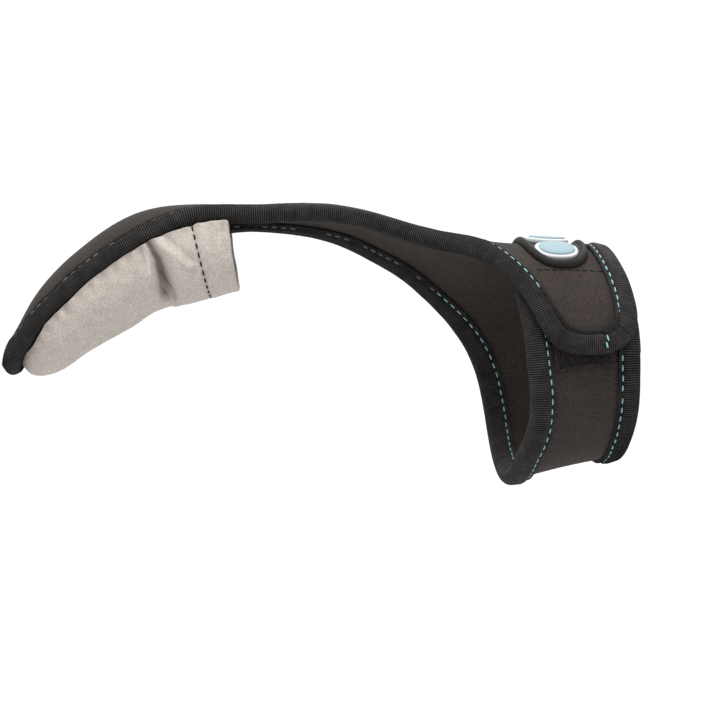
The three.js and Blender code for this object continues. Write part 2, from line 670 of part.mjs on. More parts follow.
function fingerPocket(name, material) {
  const columns = 14;
  const rows = [];
  const edgeAt = (points, run) => {
    const fine = spread(points, 300);
    let best = fine[0];
    for (const place of fine) {
      if (Math.abs(place[0] - run) < Math.abs(best[0] - run)) best = place;
    }
    return best[1];
  };
  const nearFinger = NEAR_EDGE.slice(0, 22);
  const farFinger = FAR_EDGE.slice(7).reverse();

  // front row, along the end of the neoprene from the thumb side to the far side
  const front = spread(TIP_END.slice().reverse(), columns);
  rows.push(front.map(([run, angle], i) => {
    const before = front[Math.max(0, i - 1)];
    const after = front[Math.min(columns, i + 1)];
    const tangent = sheetPoint(after[0], after[1]).sub(sheetPoint(before[0], before[1]));
    const { normal } = sheetFrame(run, angle);
    const outward = new THREE.Vector3().crossVectors(normal, tangent).normalize();
    return sheetPoint(run, angle)
      .addScaledVector(outward, seamOut(0))
      .addScaledVector(normal, seamUp(0));
  }));

  for (const run of POCKET_RUNS) {
    const frame = backFrame(run);
    const radius = halfHeight(run);
    const off = seamOut(run);
    const rise = seamUp(run);
    const nearAngle = edgeAt(nearFinger, run) * RAD;
    const farAngle = -edgeAt(farFinger, run) * RAD;
    const depth = pocketDepth(run);
    const half = [nearAngle, farAngle].map((a) => pocketHalf(
      (radius + rise) * Math.sin(a) + off * Math.cos(a),
      (radius + rise) * Math.cos(a) - radius - off * Math.sin(a),
      depth,
      pocketWidth(run),
    ));
    const row = [];
    for (let j = 0; j <= columns; j += 1) {
      const v = j / columns;
      const nearSide = v <= 0.5;
      const t = nearSide ? v * 2 : (1 - v) * 2;
      const [across, up] = half[nearSide ? 0 : 1](t);
      const first = half[nearSide ? 0 : 1](0);
      const fall = (first[1] - up) / (first[1] + depth);
      const point = frame.at.clone()
        .addScaledVector(frame.side, nearSide ? across : -across)
        .addScaledVector(frame.out, up)
        .addScaledVector(frame.along, pocketShift(run) * Math.max(0, fall) ** 1.2);
      row.push(point);
    }
    rows.push(row);
  }

  const grid = rows.map((row, i) => row.map((_, j) => {
    const up = rows[Math.max(0, i - 1)][j];
    const down = rows[Math.min(rows.length - 1, i + 1)][j];
    const left = row[Math.max(0, j - 1)];
    const right = row[Math.min(columns, j + 1)];
    const a = down.clone().sub(up);
    const b = right.clone().sub(left);
    return new THREE.Vector3().crossVectors(b, a).normalize();
  }));

  // the deep crease at the finger's bend, with a soft swell on each side of it
  const runs = [2.6, ...POCKET_RUNS];
  const outer = [];
  const inner = [];
  rows.forEach((row, i) => row.forEach((point, j) => {
    const v = j / columns;
    const bend = 59.5 + 11 * Math.min(1, v / 0.4) ** 0.8;
    const away = runs[i] - bend;
    const side = 1 - ramp(v, 0.3, 0.52);
    const edgeShare = ramp(v, 0, 0.14);
    const dent = 0.7 * Math.exp(-(((away - 6) / 3) ** 2)) - 2.1 * Math.exp(-((away / 2.6) ** 2));
    const swell = 0.5 * Math.exp(-(((away + 6) / 3) ** 2));
    const move = (dent + swell) * side * edgeShare;
    const thick = SUEDE + (runs[i] > POCKET_HEM_RUN ? HEM_EXTRA : 0);
    const normal = grid[i][j];
    outer.push(point.clone().addScaledVector(normal, SUEDE / 2 + move));
    inner.push(point.clone().addScaledVector(normal, SUEDE / 2 - thick + move));
  }));
  const wide = columns + 1;
  const quads = [];
  for (let i = 0; i + 1 < rows.length; i += 1) {
    for (let j = 0; j < columns; j += 1) {
      const k = i * wide + j;
      quads.push([k, k + 1, k + wide + 1, k + wide]);
    }
  }
  return plate(name, outer, inner, quads, material);
}

function material(color, roughness) {
  return new THREE.MeshStandardMaterial({ color, roughness, metalness: 0, side: THREE.DoubleSide });
}

const NEOPRENE_CLOTH = material(0x373030, 0.92);
const TAPE_CLOTH = material(0x2a2a2b, 0.85);
const SUEDE_CLOTH = material(0xb9b2ac, 0.95);
const FUZZ = material(0x29262a, 1.0);
const RUBBER = material(0x3c3e3a, 0.55);
const WHITE_RUBBER = material(0xe8eef0, 0.5);
const BLUE_RUBBER = material(0x8fc3e2, 0.5);

const glove = new THREE.Group();
glove.name = "fishing_casting_glove";
const net = buildNet();
const face = NEOPRENE / 2;

glove.add(netPlate("neoprene_body", net.places, net.quads, face, -face, NEOPRENE_CLOTH));
glove.add(edgeTape("edge_binding", net, TAPE_CLOTH));
glove.add(fingerPocket("finger_pocket", SUEDE_CLOTH));

const loopLow = face + GAP;
glove.add(patch("loop_patch", [[181.3, 199.6], [183.0, 200.6]], [-320, -268], [9, 3],
  loopLow + LOOP_THICK, loopLow, FUZZ));
const hookHigh = -face - GAP;
glove.add(patch("hook_patch", [[181.0, 197.3], [186.2, 198.9]], [40, 67], [6, 3],
  hookHigh, hookHigh - HOOK_THICK, FUZZ));

const floor = face + GAP;
glove.add(pad("badge_base", [BADGE_RUN, BADGE_ANGLE], BADGE_HALF, 2.8, 30, [0.66, 0.33], [
  [0.5, floor], [0.0, floor + 0.5], [0.1, floor + 1.1], [0.6, floor + 1.6],
  [1.6, floor + 1.6], [2.2, floor + 0.8],
], RUBBER));
[-1, 0, 1].forEach((i) => {
  const centre = [BADGE_RUN, BADGE_ANGLE + i * PEBBLE_STEP];
  const low = floor + 0.85 + GAP;
  glove.add(pad(`badge_pebble_rim_${i + 2}`, centre, PEBBLE_RIM_HALF, 2.5, 18, [0.5], [
    [0.2, low], [0.0, low + 0.35], [0.35, low + 0.7],
  ], WHITE_RUBBER));
  glove.add(pad(`badge_pebble_${i + 2}`, centre, PEBBLE_HALF, 2.5, 18, [0.5], [
    [0.2, low + 0.7 + GAP], [0.0, low + 1.0 + GAP], [0.6, low + 1.4 + GAP],
  ], BLUE_RUBBER));
});

export default glove;
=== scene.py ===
"""Casting glove: the finish of every piece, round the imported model.

Every finished piece stands in metres at the origin, with its place in its mesh.
"""

import math
import random

import bmesh
import bpy
from bpy.props import FloatProperty, FloatVectorProperty, IntProperty, PointerProperty
from mathutils import Matrix, Vector, noise
from mathutils.bvhtree import BVHTree
from mathutils.kdtree import KDTree


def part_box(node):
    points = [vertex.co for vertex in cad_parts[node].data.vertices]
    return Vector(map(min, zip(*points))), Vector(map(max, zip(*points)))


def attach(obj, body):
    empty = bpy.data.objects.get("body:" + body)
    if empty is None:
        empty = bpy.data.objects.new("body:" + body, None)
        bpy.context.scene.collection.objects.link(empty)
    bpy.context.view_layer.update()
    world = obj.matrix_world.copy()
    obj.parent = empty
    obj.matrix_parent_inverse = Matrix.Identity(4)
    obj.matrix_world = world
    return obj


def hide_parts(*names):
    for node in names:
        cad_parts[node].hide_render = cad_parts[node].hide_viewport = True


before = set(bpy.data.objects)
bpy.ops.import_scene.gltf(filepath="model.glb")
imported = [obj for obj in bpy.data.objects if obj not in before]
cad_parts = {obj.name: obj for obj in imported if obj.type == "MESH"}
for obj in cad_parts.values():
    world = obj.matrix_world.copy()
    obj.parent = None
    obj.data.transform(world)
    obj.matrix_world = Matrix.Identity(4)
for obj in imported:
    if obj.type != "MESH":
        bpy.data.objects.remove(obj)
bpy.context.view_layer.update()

bl_info = {
    "name": "Casting glove",
    "version": (1, 0, 0),
    "blender": (4, 5, 0),
    "location": "3D View > Sidebar > Glove",
    "description": "Makes a bound neoprene casting glove round its packed solids",
    "category": "Add Mesh",
}

MM = 0.001

# Places are in metres: +X along the wrist to the forearm, +Z up, the thumb side at -Y.
# The tape widens from FINGER_X to BAND_X, and its sewing is teal past WRIST_X.
FINGER_X = -0.097
BAND_X = -0.062
WRIST_X = -0.0335
FLAP_NECK = Vector((-0.0211, -0.0237, 0.0281))
NECK_REACH = 0.016
VIEW_TURN = math.radians(-12)


def tone(red, green, blue):
    """Linear colour from the 0 to 255 values of a display."""
    def linear(value):
        share = value / 255
        return share / 12.92 if share <= 0.04045 else ((share + 0.055) / 1.055) ** 2.4
    return (linear(red), linear(green), linear(blue))


# Settings

def length_property(name, description, millimetres):
    return FloatProperty(
        name=name,
        description=description,
        default=millimetres * MM,
        min=0.0,
        subtype="DISTANCE",
        unit="LENGTH",
        precision=5,
    )


def colour_property(name, description, red, green, blue):
    return FloatVectorProperty(
        name=name,
        description=description,
        default=tone(red, green, blue),
        min=0.0,
        max=1.0,
        size=3,
        subtype="COLOR",
    )


class GloveSizes(bpy.types.PropertyGroup):
    """Sizes of the cloth, the tape and the sewing."""

    tape_leg: length_property("Tape leg", "How far the tape lies in over the wrist band", 6.0)
    finger_leg: length_property("Finger tape leg", "How far the tape lies in at the finger", 4.2)
    neck_leg: length_property("Neck tape leg", "How far the tape lies in at the flap's neck", 4.0)
    tape_puff: length_property("Tape puff", "How far the tape's fold swells out", 0.55)
    groove_depth: length_property("Groove depth", "How deep the sewing draws the tape in", 0.6)
    groove_inset: length_property("Groove inset", "From the tape's raw edge to its sewing", 1.25)
    rib_pitch: length_property("Rib pitch", "From rib to rib along the tape", 0.64)
    rib_height: length_property("Rib height", "How far a rib stands out", 0.15)
    lap_step: length_property("Lap step", "Height of the tape's lapped end", 0.55)
    stitch_pitch: length_property("Stitch pitch", "From stitch to stitch", 2.75)
    stitch_length: length_property("Stitch length", "Visible length of one stitch", 1.9)
    thread: length_property("Thread", "Width of the sewing thread", 0.56)
    pucker_pitch: length_property("Pucker pitch", "From pucker to pucker along the seam", 4.6)
    pucker_depth: length_property("Pucker depth", "Height of the puckers in the suede", 0.11)
    crease_depth: length_property("Crease depth", "Depth of the pocket's crease at the bend", 3.4)
    fibre: length_property("Pile fibre", "Length of a fibre of the loop pile", 1.0)
    lip: length_property("Badge lip", "Height of the badge's lip over the flap", 2.1)
    fibres: IntProperty(
        name="Pile fibres",
        description="Number of fibres in the loop pile",
        default=3600,
        min=0,
        max=8000,
    )


class GloveColours(bpy.types.PropertyGroup):
    """Colours of the cloth, the rubber and the threads."""

    neoprene: colour_property("Neoprene", "Jersey face of the neoprene", 40, 34, 32)
    neoprene_fleck: colour_property("Neoprene fleck", "Pale fibres in the jersey", 88, 80, 75)
    # Painted light: the rib colour is the tape's colour with a painted highlight, and the groove
    # colour is near-black painted shade.
    tape_lit_rib_top: colour_property("Tape ribs", "Top of the tape's ribs", 80, 79, 77)
    tape_shaded_groove: colour_property("Tape grooves", "Between the tape's ribs", 4, 4, 5)
    suede: colour_property("Suede", "Brushed face of the suede", 214, 206, 197)
    # This colour is both the darker fibres of the nap and the painted shade along the tape's edge, in
    # the hem's groove and in the crease.
    suede_nap_and_shade: colour_property("Suede shade", "Darker nap and the seam's edge", 144, 134, 127)
    pile: colour_property("Pile", "Loop pile and hooks", 6, 5, 5)
    pile_fleck: colour_property("Pile fleck", "Paler loops of the pile", 74, 66, 61)
    rubber: colour_property("Badge rubber", "Moulded rubber of the badge", 38, 38, 35)
    white: colour_property("White rubber", "Outline of the raised ovals", 222, 225, 224)
    blue: colour_property("Blue rubber", "Top of the raised ovals", 154, 177, 186)
    teal: colour_property("Teal thread", "Sewing of the wrist band", 160, 214, 216)
    dark: colour_property("Dark thread", "Sewing of the strip and the pocket", 19, 17, 17)
    grey: colour_property("Grey thread", "Sewing of the finger's tape", 118, 120, 122)
    floor: colour_property("Floor", "Studio floor and backdrop", 200, 200, 200)


def sizes():
    return bpy.context.scene.glove_sizes


def colours():
    return bpy.context.scene.glove_colours


# Shader node groups

def fill(tree, socket, value):
    """Links a socket to an input or sets its value; a colour gets its alpha."""
    if isinstance(value, bpy.types.NodeSocket):
        tree.links.new(value, socket)
    else:
        socket.default_value = (*value, 1.0) if socket.type == "RGBA" else value


def node(tree, kind, inputs=None, **settings):
    """A node of a tree with its settings and socket values or links."""
    made = tree.nodes.new(kind)
    for name, value in settings.items():
        setattr(made, name, value)
    for key, value in (inputs or {}).items():
        fill(tree, made.inputs[key], value)
    return made


def calc(tree, operation, *values):
    """The result of a math node on some values or sockets."""
    return node(
        tree, "ShaderNodeMath", dict(enumerate(values)), operation=operation
    ).outputs[0]


def new_group(name, inputs, outputs):
    """An empty shader node group with named sockets, and its two end nodes."""
    tree = bpy.data.node_groups.new(name, "ShaderNodeTree")
    for socket, kind in inputs:
        tree.interface.new_socket(name=socket, in_out="INPUT", socket_type=kind)
    for socket, kind in outputs:
        tree.interface.new_socket(name=socket, in_out="OUTPUT", socket_type=kind)
    start = tree.nodes.new("NodeGroupInput")
    end = tree.nodes.new("NodeGroupOutput")
    return tree, start, end


def noise_at(tree, millimetres, detail=2.0, roughness=0.55):
    """Noise whose features are about that many millimetres across, from 0 to 1."""
    place = node(tree, "ShaderNodeTexCoord").outputs["Object"]
    per_metre = calc(tree, "DIVIDE", 1 / MM, millimetres)
    scaled = node(tree, "ShaderNodeVectorMath", {0: place, "Scale": per_metre}, operation="SCALE")
    return node(
        tree,
        "ShaderNodeTexNoise",
        {"Vector": scaled.outputs[0], "Scale": 1.0, "Detail": detail, "Roughness": roughness},
    ).outputs["Fac"]


def spread_out(tree, value, low, high):
    """A value stretched so that low becomes 0 and high becomes 1."""
    return node(
        tree, "ShaderNodeMapRange", {"Value": value, "From Min": low, "From Max": high}
    ).outputs["Result"]


def blend_colour(tree, share, first, second):
    """Two colours mixed by a share."""
    return node(
        tree, "ShaderNodeMix", {"Factor": share, 6: first, 7: second}, data_type="RGBA"
    ).outputs[2]


def nap_group():
    """Fine fibres over slow mottling, as on jersey, suede, tape and pile."""
    if "nap" in bpy.data.node_groups:
        return bpy.data.node_groups["nap"]
    tree, start, end = new_group(
        "nap",
        [
            ("Colour", "NodeSocketColor"),
            ("Fleck Colour", "NodeSocketColor"),
            ("Fibre Size", "NodeSocketFloat"),
            ("Fleck Share", "NodeSocketFloat"),
            ("Mottle Size", "NodeSocketFloat"),
            ("Mottle", "NodeSocketFloat"),
        ],
        [("Colour", "NodeSocketColor"), ("Height", "NodeSocketFloat")],
    )
    fine = noise_at(tree, start.outputs["Fibre Size"], 3.0, 0.65)
    slow = noise_at(tree, start.outputs["Mottle Size"], 3.0, 0.6)
    clear = spread_out(tree, fine, 0.34, 0.68)
    fleck = calc(tree, "MULTIPLY", clear, start.outputs["Fleck Share"])
    flecked = blend_colour(tree, fleck, start.outputs["Colour"], start.outputs["Fleck Colour"])
    centred = calc(tree, "SUBTRACT", slow, 0.5)
    swing = calc(tree, "MULTIPLY_ADD", centred, start.outputs["Mottle"], 1.0)
    shaded = node(tree, "ShaderNodeVectorMath", {0: flecked, "Scale": swing}, operation="SCALE")
    tree.links.new(shaded.outputs[0], end.inputs["Colour"])
    tree.links.new(fine, end.inputs["Height"])
    return tree


def nap(tree, shader, colour, fleck, fibre, share, mottle_size, mottle):
    """The nap group as a shader's colour, with sizes in millimetres. It returns the height."""
    values = {
        "Colour": colour,
        "Fleck Colour": fleck,
        "Fibre Size": fibre,
        "Fleck Share": share,
        "Mottle Size": mottle_size,
        "Mottle": mottle,
    }
    made = node(tree, "ShaderNodeGroup", values, node_tree=nap_group())
    tree.links.new(made.outputs["Colour"], shader.inputs["Base Color"])
    return made.outputs["Height"]


# Materials

def new_material(name, roughness, sheen=0.0, specular=0.5):
    """A material, its tree and its Principled shader, ready for its nodes."""
    made = bpy.data.materials.new(name)
    made.use_nodes = True
    shader = made.node_tree.nodes["Principled BSDF"]
    shader.inputs["Roughness"].default_value = roughness
    shader.inputs["Specular IOR Level"].default_value = specular
    shader.inputs["Sheen Weight"].default_value = sheen
    shader.inputs["Sheen Roughness"].default_value = 0.5
    return made, made.node_tree, shader


def raise_surface(tree, shader, height, millimetres):
    """A bump of that height, in millimetres, on the shader."""
    bump = node(tree, "ShaderNodeBump", {"Height": height, "Distance": millimetres * MM})
    tree.links.new(bump.outputs["Normal"], shader.inputs["Normal"])


def add(tree, *values):
    """The sum of some values or sockets, each with its weight."""
    total = 0.0
    for value, weight in values:
        total = calc(tree, "MULTIPLY_ADD", value, weight, total)
    return total


def neoprene_material():
    made, tree, shader = new_material("neoprene_jersey", 0.95, sheen=0.06, specular=0.15)
    fuzz = nap(
        tree, shader, colours().neoprene, colours().neoprene_fleck,
        fibre=0.36, share=0.6, mottle_size=9.0, mottle=0.45,
    )
    knit = noise_at(tree, 0.9)
    raise_surface(tree, shader, add(tree, (fuzz, 0.8), (knit, 0.5)), 0.25)
    return made


def tape_material(rib_count):
    """Ribs across the tape, counted along its UV map, with a painted highlight on their tops and
    painted shade between them.
    """
    made, tree, shader = new_material("ribbed_tape", 0.85, sheen=0.01, specular=0.12)
    map_place = node(tree, "ShaderNodeUVMap", uv_map="tape")
    along = node(tree, "ShaderNodeSeparateXYZ", {0: map_place.outputs[0]}).outputs[0]
    wave = calc(tree, "SINE", calc(tree, "MULTIPLY", along, 2 * math.pi * rib_count))
    rib = spread_out(tree, wave, -0.8, 0.9)
    # Painted light: the rib tops take the lit colour and the grooves the painted shade, with the
    # highlight stronger in random patches.
    highlight_patches = spread_out(tree, noise_at(tree, 3.0, 3.0), 0.3, 0.7)
    share = calc(tree, "MULTIPLY", rib, calc(tree, "MULTIPLY_ADD", highlight_patches, 0.4, 0.45))
    ribbed = blend_colour(tree, share, colours().tape_shaded_groove, colours().tape_lit_rib_top)
    fuzz = nap(
        tree, shader, ribbed, colours().neoprene_fleck,
        fibre=0.3, share=0.07, mottle_size=6.0, mottle=0.4,
    )
    raise_surface(tree, shader, add(tree, (rib, 1.0), (fuzz, 0.35)), 0.16)
    return made


def suede_material():
    """Brushed nap with darker fibres, and painted shade where the seam attribute says."""
    made, tree, shader = new_material("brushed_suede", 1.0, sheen=0.12, specular=0.1)
    # The seam attribute is painted shade, with some dirt along the tape's edge.
    seam = node(tree, "ShaderNodeAttribute", attribute_name="seam").outputs["Fac"]
    base = blend_colour(tree, seam, colours().suede, colours().suede_nap_and_shade)
    fuzz = nap(
        tree, shader, base, colours().suede_nap_and_shade, fibre=0.42, share=0.66, mottle_size=3.0, mottle=0.3
    )
    brush = noise_at(tree, 2.2, 3.0)
    raise_surface(tree, shader, add(tree, (fuzz, 0.6), (brush, 0.9)), 0.22)
    return made


def pile_material():
    made, tree, shader = new_material("closure_pile", 0.9, sheen=0.2, specular=0.2)
    fuzz = nap(
        tree, shader, colours().pile, colours().pile_fleck,
        fibre=0.6, share=0.6, mottle_size=2.0, mottle=0.9,
    )
    raise_surface(tree, shader, fuzz, 0.3)
    return made


def rubber_material(name, colour, shade_share):
    """Moulded rubber with a faint bloom."""
    made, tree, shader = new_material(name, 0.6, specular=0.22)
    dull = [channel * shade_share for channel in colour]
    fuzz = nap(tree, shader, colour, dull, fibre=1.2, share=0.35, mottle_size=7.0, mottle=0.18)
    bloom = noise_at(tree, 4.0, 3.0)
    rough = node(
        tree, "ShaderNodeMapRange", {"Value": bloom, "To Min": 0.5, "To Max": 0.72}
    )
    tree.links.new(rough.outputs["Result"], shader.inputs["Roughness"])
    raise_surface(tree, shader, fuzz, 0.05)
    return made


def thread_material(name, colour):
    """Sewing thread, with darker flecks as painted shade between its plies."""
    made, tree, shader = new_material(name, 0.6, sheen=0.06, specular=0.25)
    # Painted shade: the darker colour stands for shade in the valleys between the plies.
    dark = [channel * 0.45 for channel in colour]
    fuzz = nap(tree, shader, colour, dark, fibre=0.22, share=0.6, mottle_size=2.5, mottle=0.5)
    raise_surface(tree, shader, fuzz, 0.08)
    return made


def floor_material():
    """A pale floor that shows as white as a lit backdrop, without more light on the glove."""
    made, tree, shader = new_material("studio_floor", 0.9, specular=0.1)
    pale = colours().floor
    dull = [channel * 0.985 for channel in pale]
    nap(tree, shader, pale, dull, fibre=20.0, share=0.5, mottle_size=300.0, mottle=0.01)
    seen = node(tree, "ShaderNodeLightPath").outputs["Is Camera Ray"]
    glow = calc(tree, "MULTIPLY", seen, FLOOR_GLOW)
    shader.inputs["Emission Color"].default_value = (1, 1, 1, 1)
    tree.links.new(glow, shader.inputs["Emission Strength"])
    return made


def material(name, maker, *values):
    """The material of that name, made once."""
    return bpy.data.materials.get(name) or maker(*values)


# Pieces

def as_mesh(name, bm):
    """A mesh from a bmesh, which is freed."""
    mesh = bpy.data.meshes.new(name)
    bm.to_mesh(mesh)
    bm.free()
    return mesh


def opened(mesh):
    """A bmesh of a mesh."""
    bm = bmesh.new()
    bm.from_mesh(mesh)
    return bm


def placed(name, data):
    """An object with that data, in the scene."""
    made = bpy.data.objects.new(name, data)
    bpy.context.scene.collection.objects.link(made)
    return made


def smooth_object(name, bm, finish):
    """A smooth object from a bmesh, with its material."""
    for face in bm.faces:
        face.smooth = True
    mesh = as_mesh(name, bm)
    mesh.materials.append(finish)
    return placed(name, mesh)


def new_piece(name, bm, finish, replaced=()):
    """A smooth object that rides on the glove and stands for the named CAD nodes."""
    made = smooth_object(name, bm, finish)
    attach(made, "root")
    if replaced:
        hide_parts(*replaced)
    return made


def merged(name):
    """A copy of a CAD node with its loose triangles joined into quads."""
    bm = opened(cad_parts[name].data)
    bmesh.ops.remove_doubles(bm, verts=bm.verts, dist=0.00001)
    bmesh.ops.join_triangles(
        bm,
        faces=bm.faces,
        angle_face_threshold=math.radians(45),
        angle_shape_threshold=math.radians(60),
    )
    return bm


def sharp_edges(bm, degrees=55):
    """The edges where two faces meet at more than that angle, in the mesh's order."""
    limit = math.radians(degrees)
    return [e for e in bm.edges if len(e.link_faces) == 2 and e.calc_face_angle(0) > limit]


def softened(bm, levels, crease=0.0):
    """The bmesh subdivided with its sharp edges kept by a crease."""
    if crease:
        layer = bm.edges.layers.float.get("crease_edge") or bm.edges.layers.float.new("crease_edge")
        for edge in sharp_edges(bm):
            edge[layer] = crease
    mesh = bpy.data.meshes.new("softening")
    bm.to_mesh(mesh)
    holder = placed("softening", mesh)
    modifier = holder.modifiers.new("soften", "SUBSURF")
    modifier.levels = levels
    modifier.render_levels = levels
    graph = bpy.context.evaluated_depsgraph_get()
    fine = bpy.data.meshes.new_from_object(holder.evaluated_get(graph))
    bm.clear()
    bm.from_mesh(fine)
    layer = bm.edges.layers.float.get("crease_edge")
    if layer:
        bm.edges.layers.float.remove(layer)
    bpy.data.objects.remove(holder)
    bpy.data.meshes.remove(mesh)
    bpy.data.meshes.remove(fine)
    return bm


def closed_lines(edges):
    """The closed lines that some edges make, each as a list of vertices in order."""
    left = dict.fromkeys(edges)
    lines = []
    while left:
        first = next(iter(left))
        del left[first]
        line = list(first.verts)
        while line[-1] is not line[0]:
            end = line[-1]
            ahead = end.co - line[-2].co
            steps = [
                (ahead.angle(e.other_vert(end).co - end.co), e)
                for e in end.link_edges
                if e in left
            ]
            if not steps:
                break
            step = min(steps, key=lambda pair: pair[0])[1]
            del left[step]
            line.append(step.other_vert(end))
        lines.append(line[line.index(line[-1]):-1])
    return lines


def even_loop(points, count, *others):
    """Places at even distances round a closed line, with other values in step, and its length."""
    closed = [*points, points[0]]
    reach = [0.0]
    for before, after in zip(closed, closed[1:]):
        reach.append(reach[-1] + (after - before).length)
    rows = [closed, *([*values, values[0]] for values in others)]
    found = [[] for _ in rows]
    at = 0
    for index in range(count):
        target = reach[-1] * index / count
        while reach[at + 1] < target:
            at += 1
        share = (target - reach[at]) / max(reach[at + 1] - reach[at], 1e-12)
        for row, places in zip(rows, found):
            places.append(row[at].lerp(row[at + 1], share))
    return found, reach[-1]


def smoothed(vectors, passes):
    """Directions round a closed line, each drawn towards its neighbours."""
    for _ in range(passes):
        vectors = [
            (vectors[i - 1] + vectors[i] * 2 + vectors[(i + 1) % len(vectors)]).normalized()
            for i in range(len(vectors))
        ]
    return vectors


# The neoprene and the line round its edge

def made_piece(name):
    """A bmesh of a finished piece that another one is fitted to."""
    found = bpy.data.objects.get(name)
    if found is None:
        raise RuntimeError(f"make {name} first: another piece is fitted to it")
    return opened(found.data)


NEOPRENE_FLAT = (0.212, 0.223)
LEAST_SHARE = 0.301


def make_neoprene():
    """The shell, softened from its CAD node; its area is worked out as at least the least share of
    its rectangle.
    """
    bm = softened(merged("neoprene_body"), 2, crease=1.0)
    area = sum(face.calc_area() for face in bm.faces) / 2
    piece = new_piece(
        "neoprene_shell",
        bm,
        material("neoprene_jersey", neoprene_material),
        ["neoprene_body"],
    )
    area = max(area, LEAST_SHARE * NEOPRENE_FLAT[0] * NEOPRENE_FLAT[1])


RIM_ANGLE = 65
EDGE_PROBE = 1.2 * MM
EDGE_PLACES = 840
EDGE_PASSES = 24
WALK_STEP = 0.75 * MM
WALK_STEPS = 13


def rim_line(bm):
    """One rim of the neoprene's edge, from the fingertip on, always the same way round."""
    line = max(closed_lines(sharp_edges(bm, RIM_ANGLE)), key=len)
    tip = min(range(len(line)), key=lambda i: line[i].co.x)
    line = line[tip:] + line[:tip]
    if line[len(line) // 12].co.y > line[-len(line) // 12].co.y:
        line = [line[0], *reversed(line[1:])]
    return line


def rim_rows(bm, surface, line):
    """For each edge of the rim: the cloth's thickness, its middle, and both faces' normals."""
    found = []
    for v, after in zip(line, [*line[1:], line[0]]):
        faces = bm.edges.get((v, after)).link_faces
        middle = (v.co + after.co) / 2
        start = middle - (faces[0].normal + faces[1].normal) * EDGE_PROBE
        reach = [surface.ray_cast(start, -face.normal)[3] or 1.0 for face in faces]
        skin = reach.index(min(reach))
        normals = [faces[skin].normal.copy(), faces[1 - skin].normal.copy()]
        found.append((min(reach) + EDGE_PROBE, middle, *normals))
    return found


class EdgePath:
    """The line round the neoprene's edge, with its directions, from the fingertip on."""

    def __init__(self, count):
        bm = made_piece("neoprene_shell")
        self.surface = BVHTree.FromBMesh(bm)
        found = rim_rows(bm, self.surface, rim_line(bm))
        bm.free()
        thickness = sorted(depth for depth, *_ in found)[len(found) // 2]
        found = [row[1:] for row in found if row[0] < 1.6 * thickness]
        self.half = thickness / 2
        places = [point - skin * self.half for point, skin, _ in found]
        normals = []
        for _, skin, _ in found:
            normals.append(-skin if normals and skin.dot(normals[-1]) < 0 else skin)
        outside = sum(n.dot(Vector((0, p.y, p.z))) for p, n in zip(places, normals) if p.x > 0)
        (places, normals, walls), self.length = even_loop(
            places, EDGE_PLACES, normals, [wall for _, _, wall in found]
        )
        normals = smoothed([n if outside > 0 else -n for n in normals], EDGE_PASSES)
        outward = []
        for i in range(EDGE_PLACES):
            along = places[(i + 1) % EDGE_PLACES] - places[i - 1]
            across = along.cross(normals[i]).normalized()
            outward.append(across if across.dot(walls[i]) > 0 else -across)
        outward = smoothed(outward, EDGE_PASSES)
        self.count = count
        (self.place, self.normal, self.outward), _ = even_loop(places, count, normals, outward)
        self.normal = smoothed(self.normal, 1)
        self.outward = smoothed(self.outward, 1)
        self.walks = {}

    def leg(self, index):
        """How far the tape lies in over the neoprene: less along the finger and at the neck."""
        share = (self.place[index].x - FINGER_X) / (BAND_X - FINGER_X)
        share = min(1.0, max(0.0, share))
        full = sizes().finger_leg + (sizes().tape_leg - sizes().finger_leg) * share
        return full - (sizes().tape_leg - sizes().neck_leg) * self.neck(index)

    def neck(self, index):
        """How near the flap's neck a place lies, 0 to 1."""
        return math.exp(-(((self.place[index] - FLAP_NECK).length / NECK_REACH) ** 2))

    def walk(self, index, side):
        """Places and normals on one face of the neoprene, going in from the edge."""
        key = (index, side)
        if key in self.walks:
            return self.walks[key]
        normal = self.normal[index] * side
        place = self.place[index] + normal * self.half
        inward = -self.outward[index]
        found = [(place, normal)]
        for _ in range(WALK_STEPS):
            nearest, facing, _, _ = self.surface.find_nearest(place + inward * WALK_STEP)
            inward = (inward - facing * inward.dot(facing)).normalized()
            place = nearest
            normal = facing
            found.append((place, normal))
        for _ in range(2):
            for i in range(1, len(found) - 1):
                smooth = found[i - 1][1] + found[i][1] * 2 + found[i + 1][1]
                found[i] = (found[i][0], smooth.normalized())
        self.walks[key] = found
        return found

    def at(self, index, inset, height):
        """A place by its way in from the edge and its height over the cloth's middle."""
        if inset <= 0:
            return self.place[index] - self.outward[index] * inset + self.normal[index] * height
        side = 1 if height > 0 else -1
        found = self.walk(index, side)
        steps = inset / WALK_STEP
        low = min(int(steps), len(found) - 2)
        share = steps - low
        place = found[low][0].lerp(found[low + 1][0], share)
        normal = found[low][1].lerp(found[low + 1][1], share).normalized()
        return place + normal * (abs(height) - self.half)


# Heights are over the cloth's middle. FOLD_TURN is the tape's width beyond its two legs.
SKIN = 2.35 * MM
TAPE_INNER = 1.32 * MM
FOLD_START = 1.3 * MM
FOLD_REACH = 1.2 * MM

# The tape's lapped end: where it lies on the flap, which way it runs and how it fades.
LAP_CORNER = Vector((0.0118, -0.0318, 0.0095))
LAP_WAY = Vector((0.75, 0.0, 0.66))
LAP_REACH = 14 * MM
LAP_EDGE = 0.25 * MM
LAP_LENGTH = 9 * MM
LAP_FADE = 4 * MM


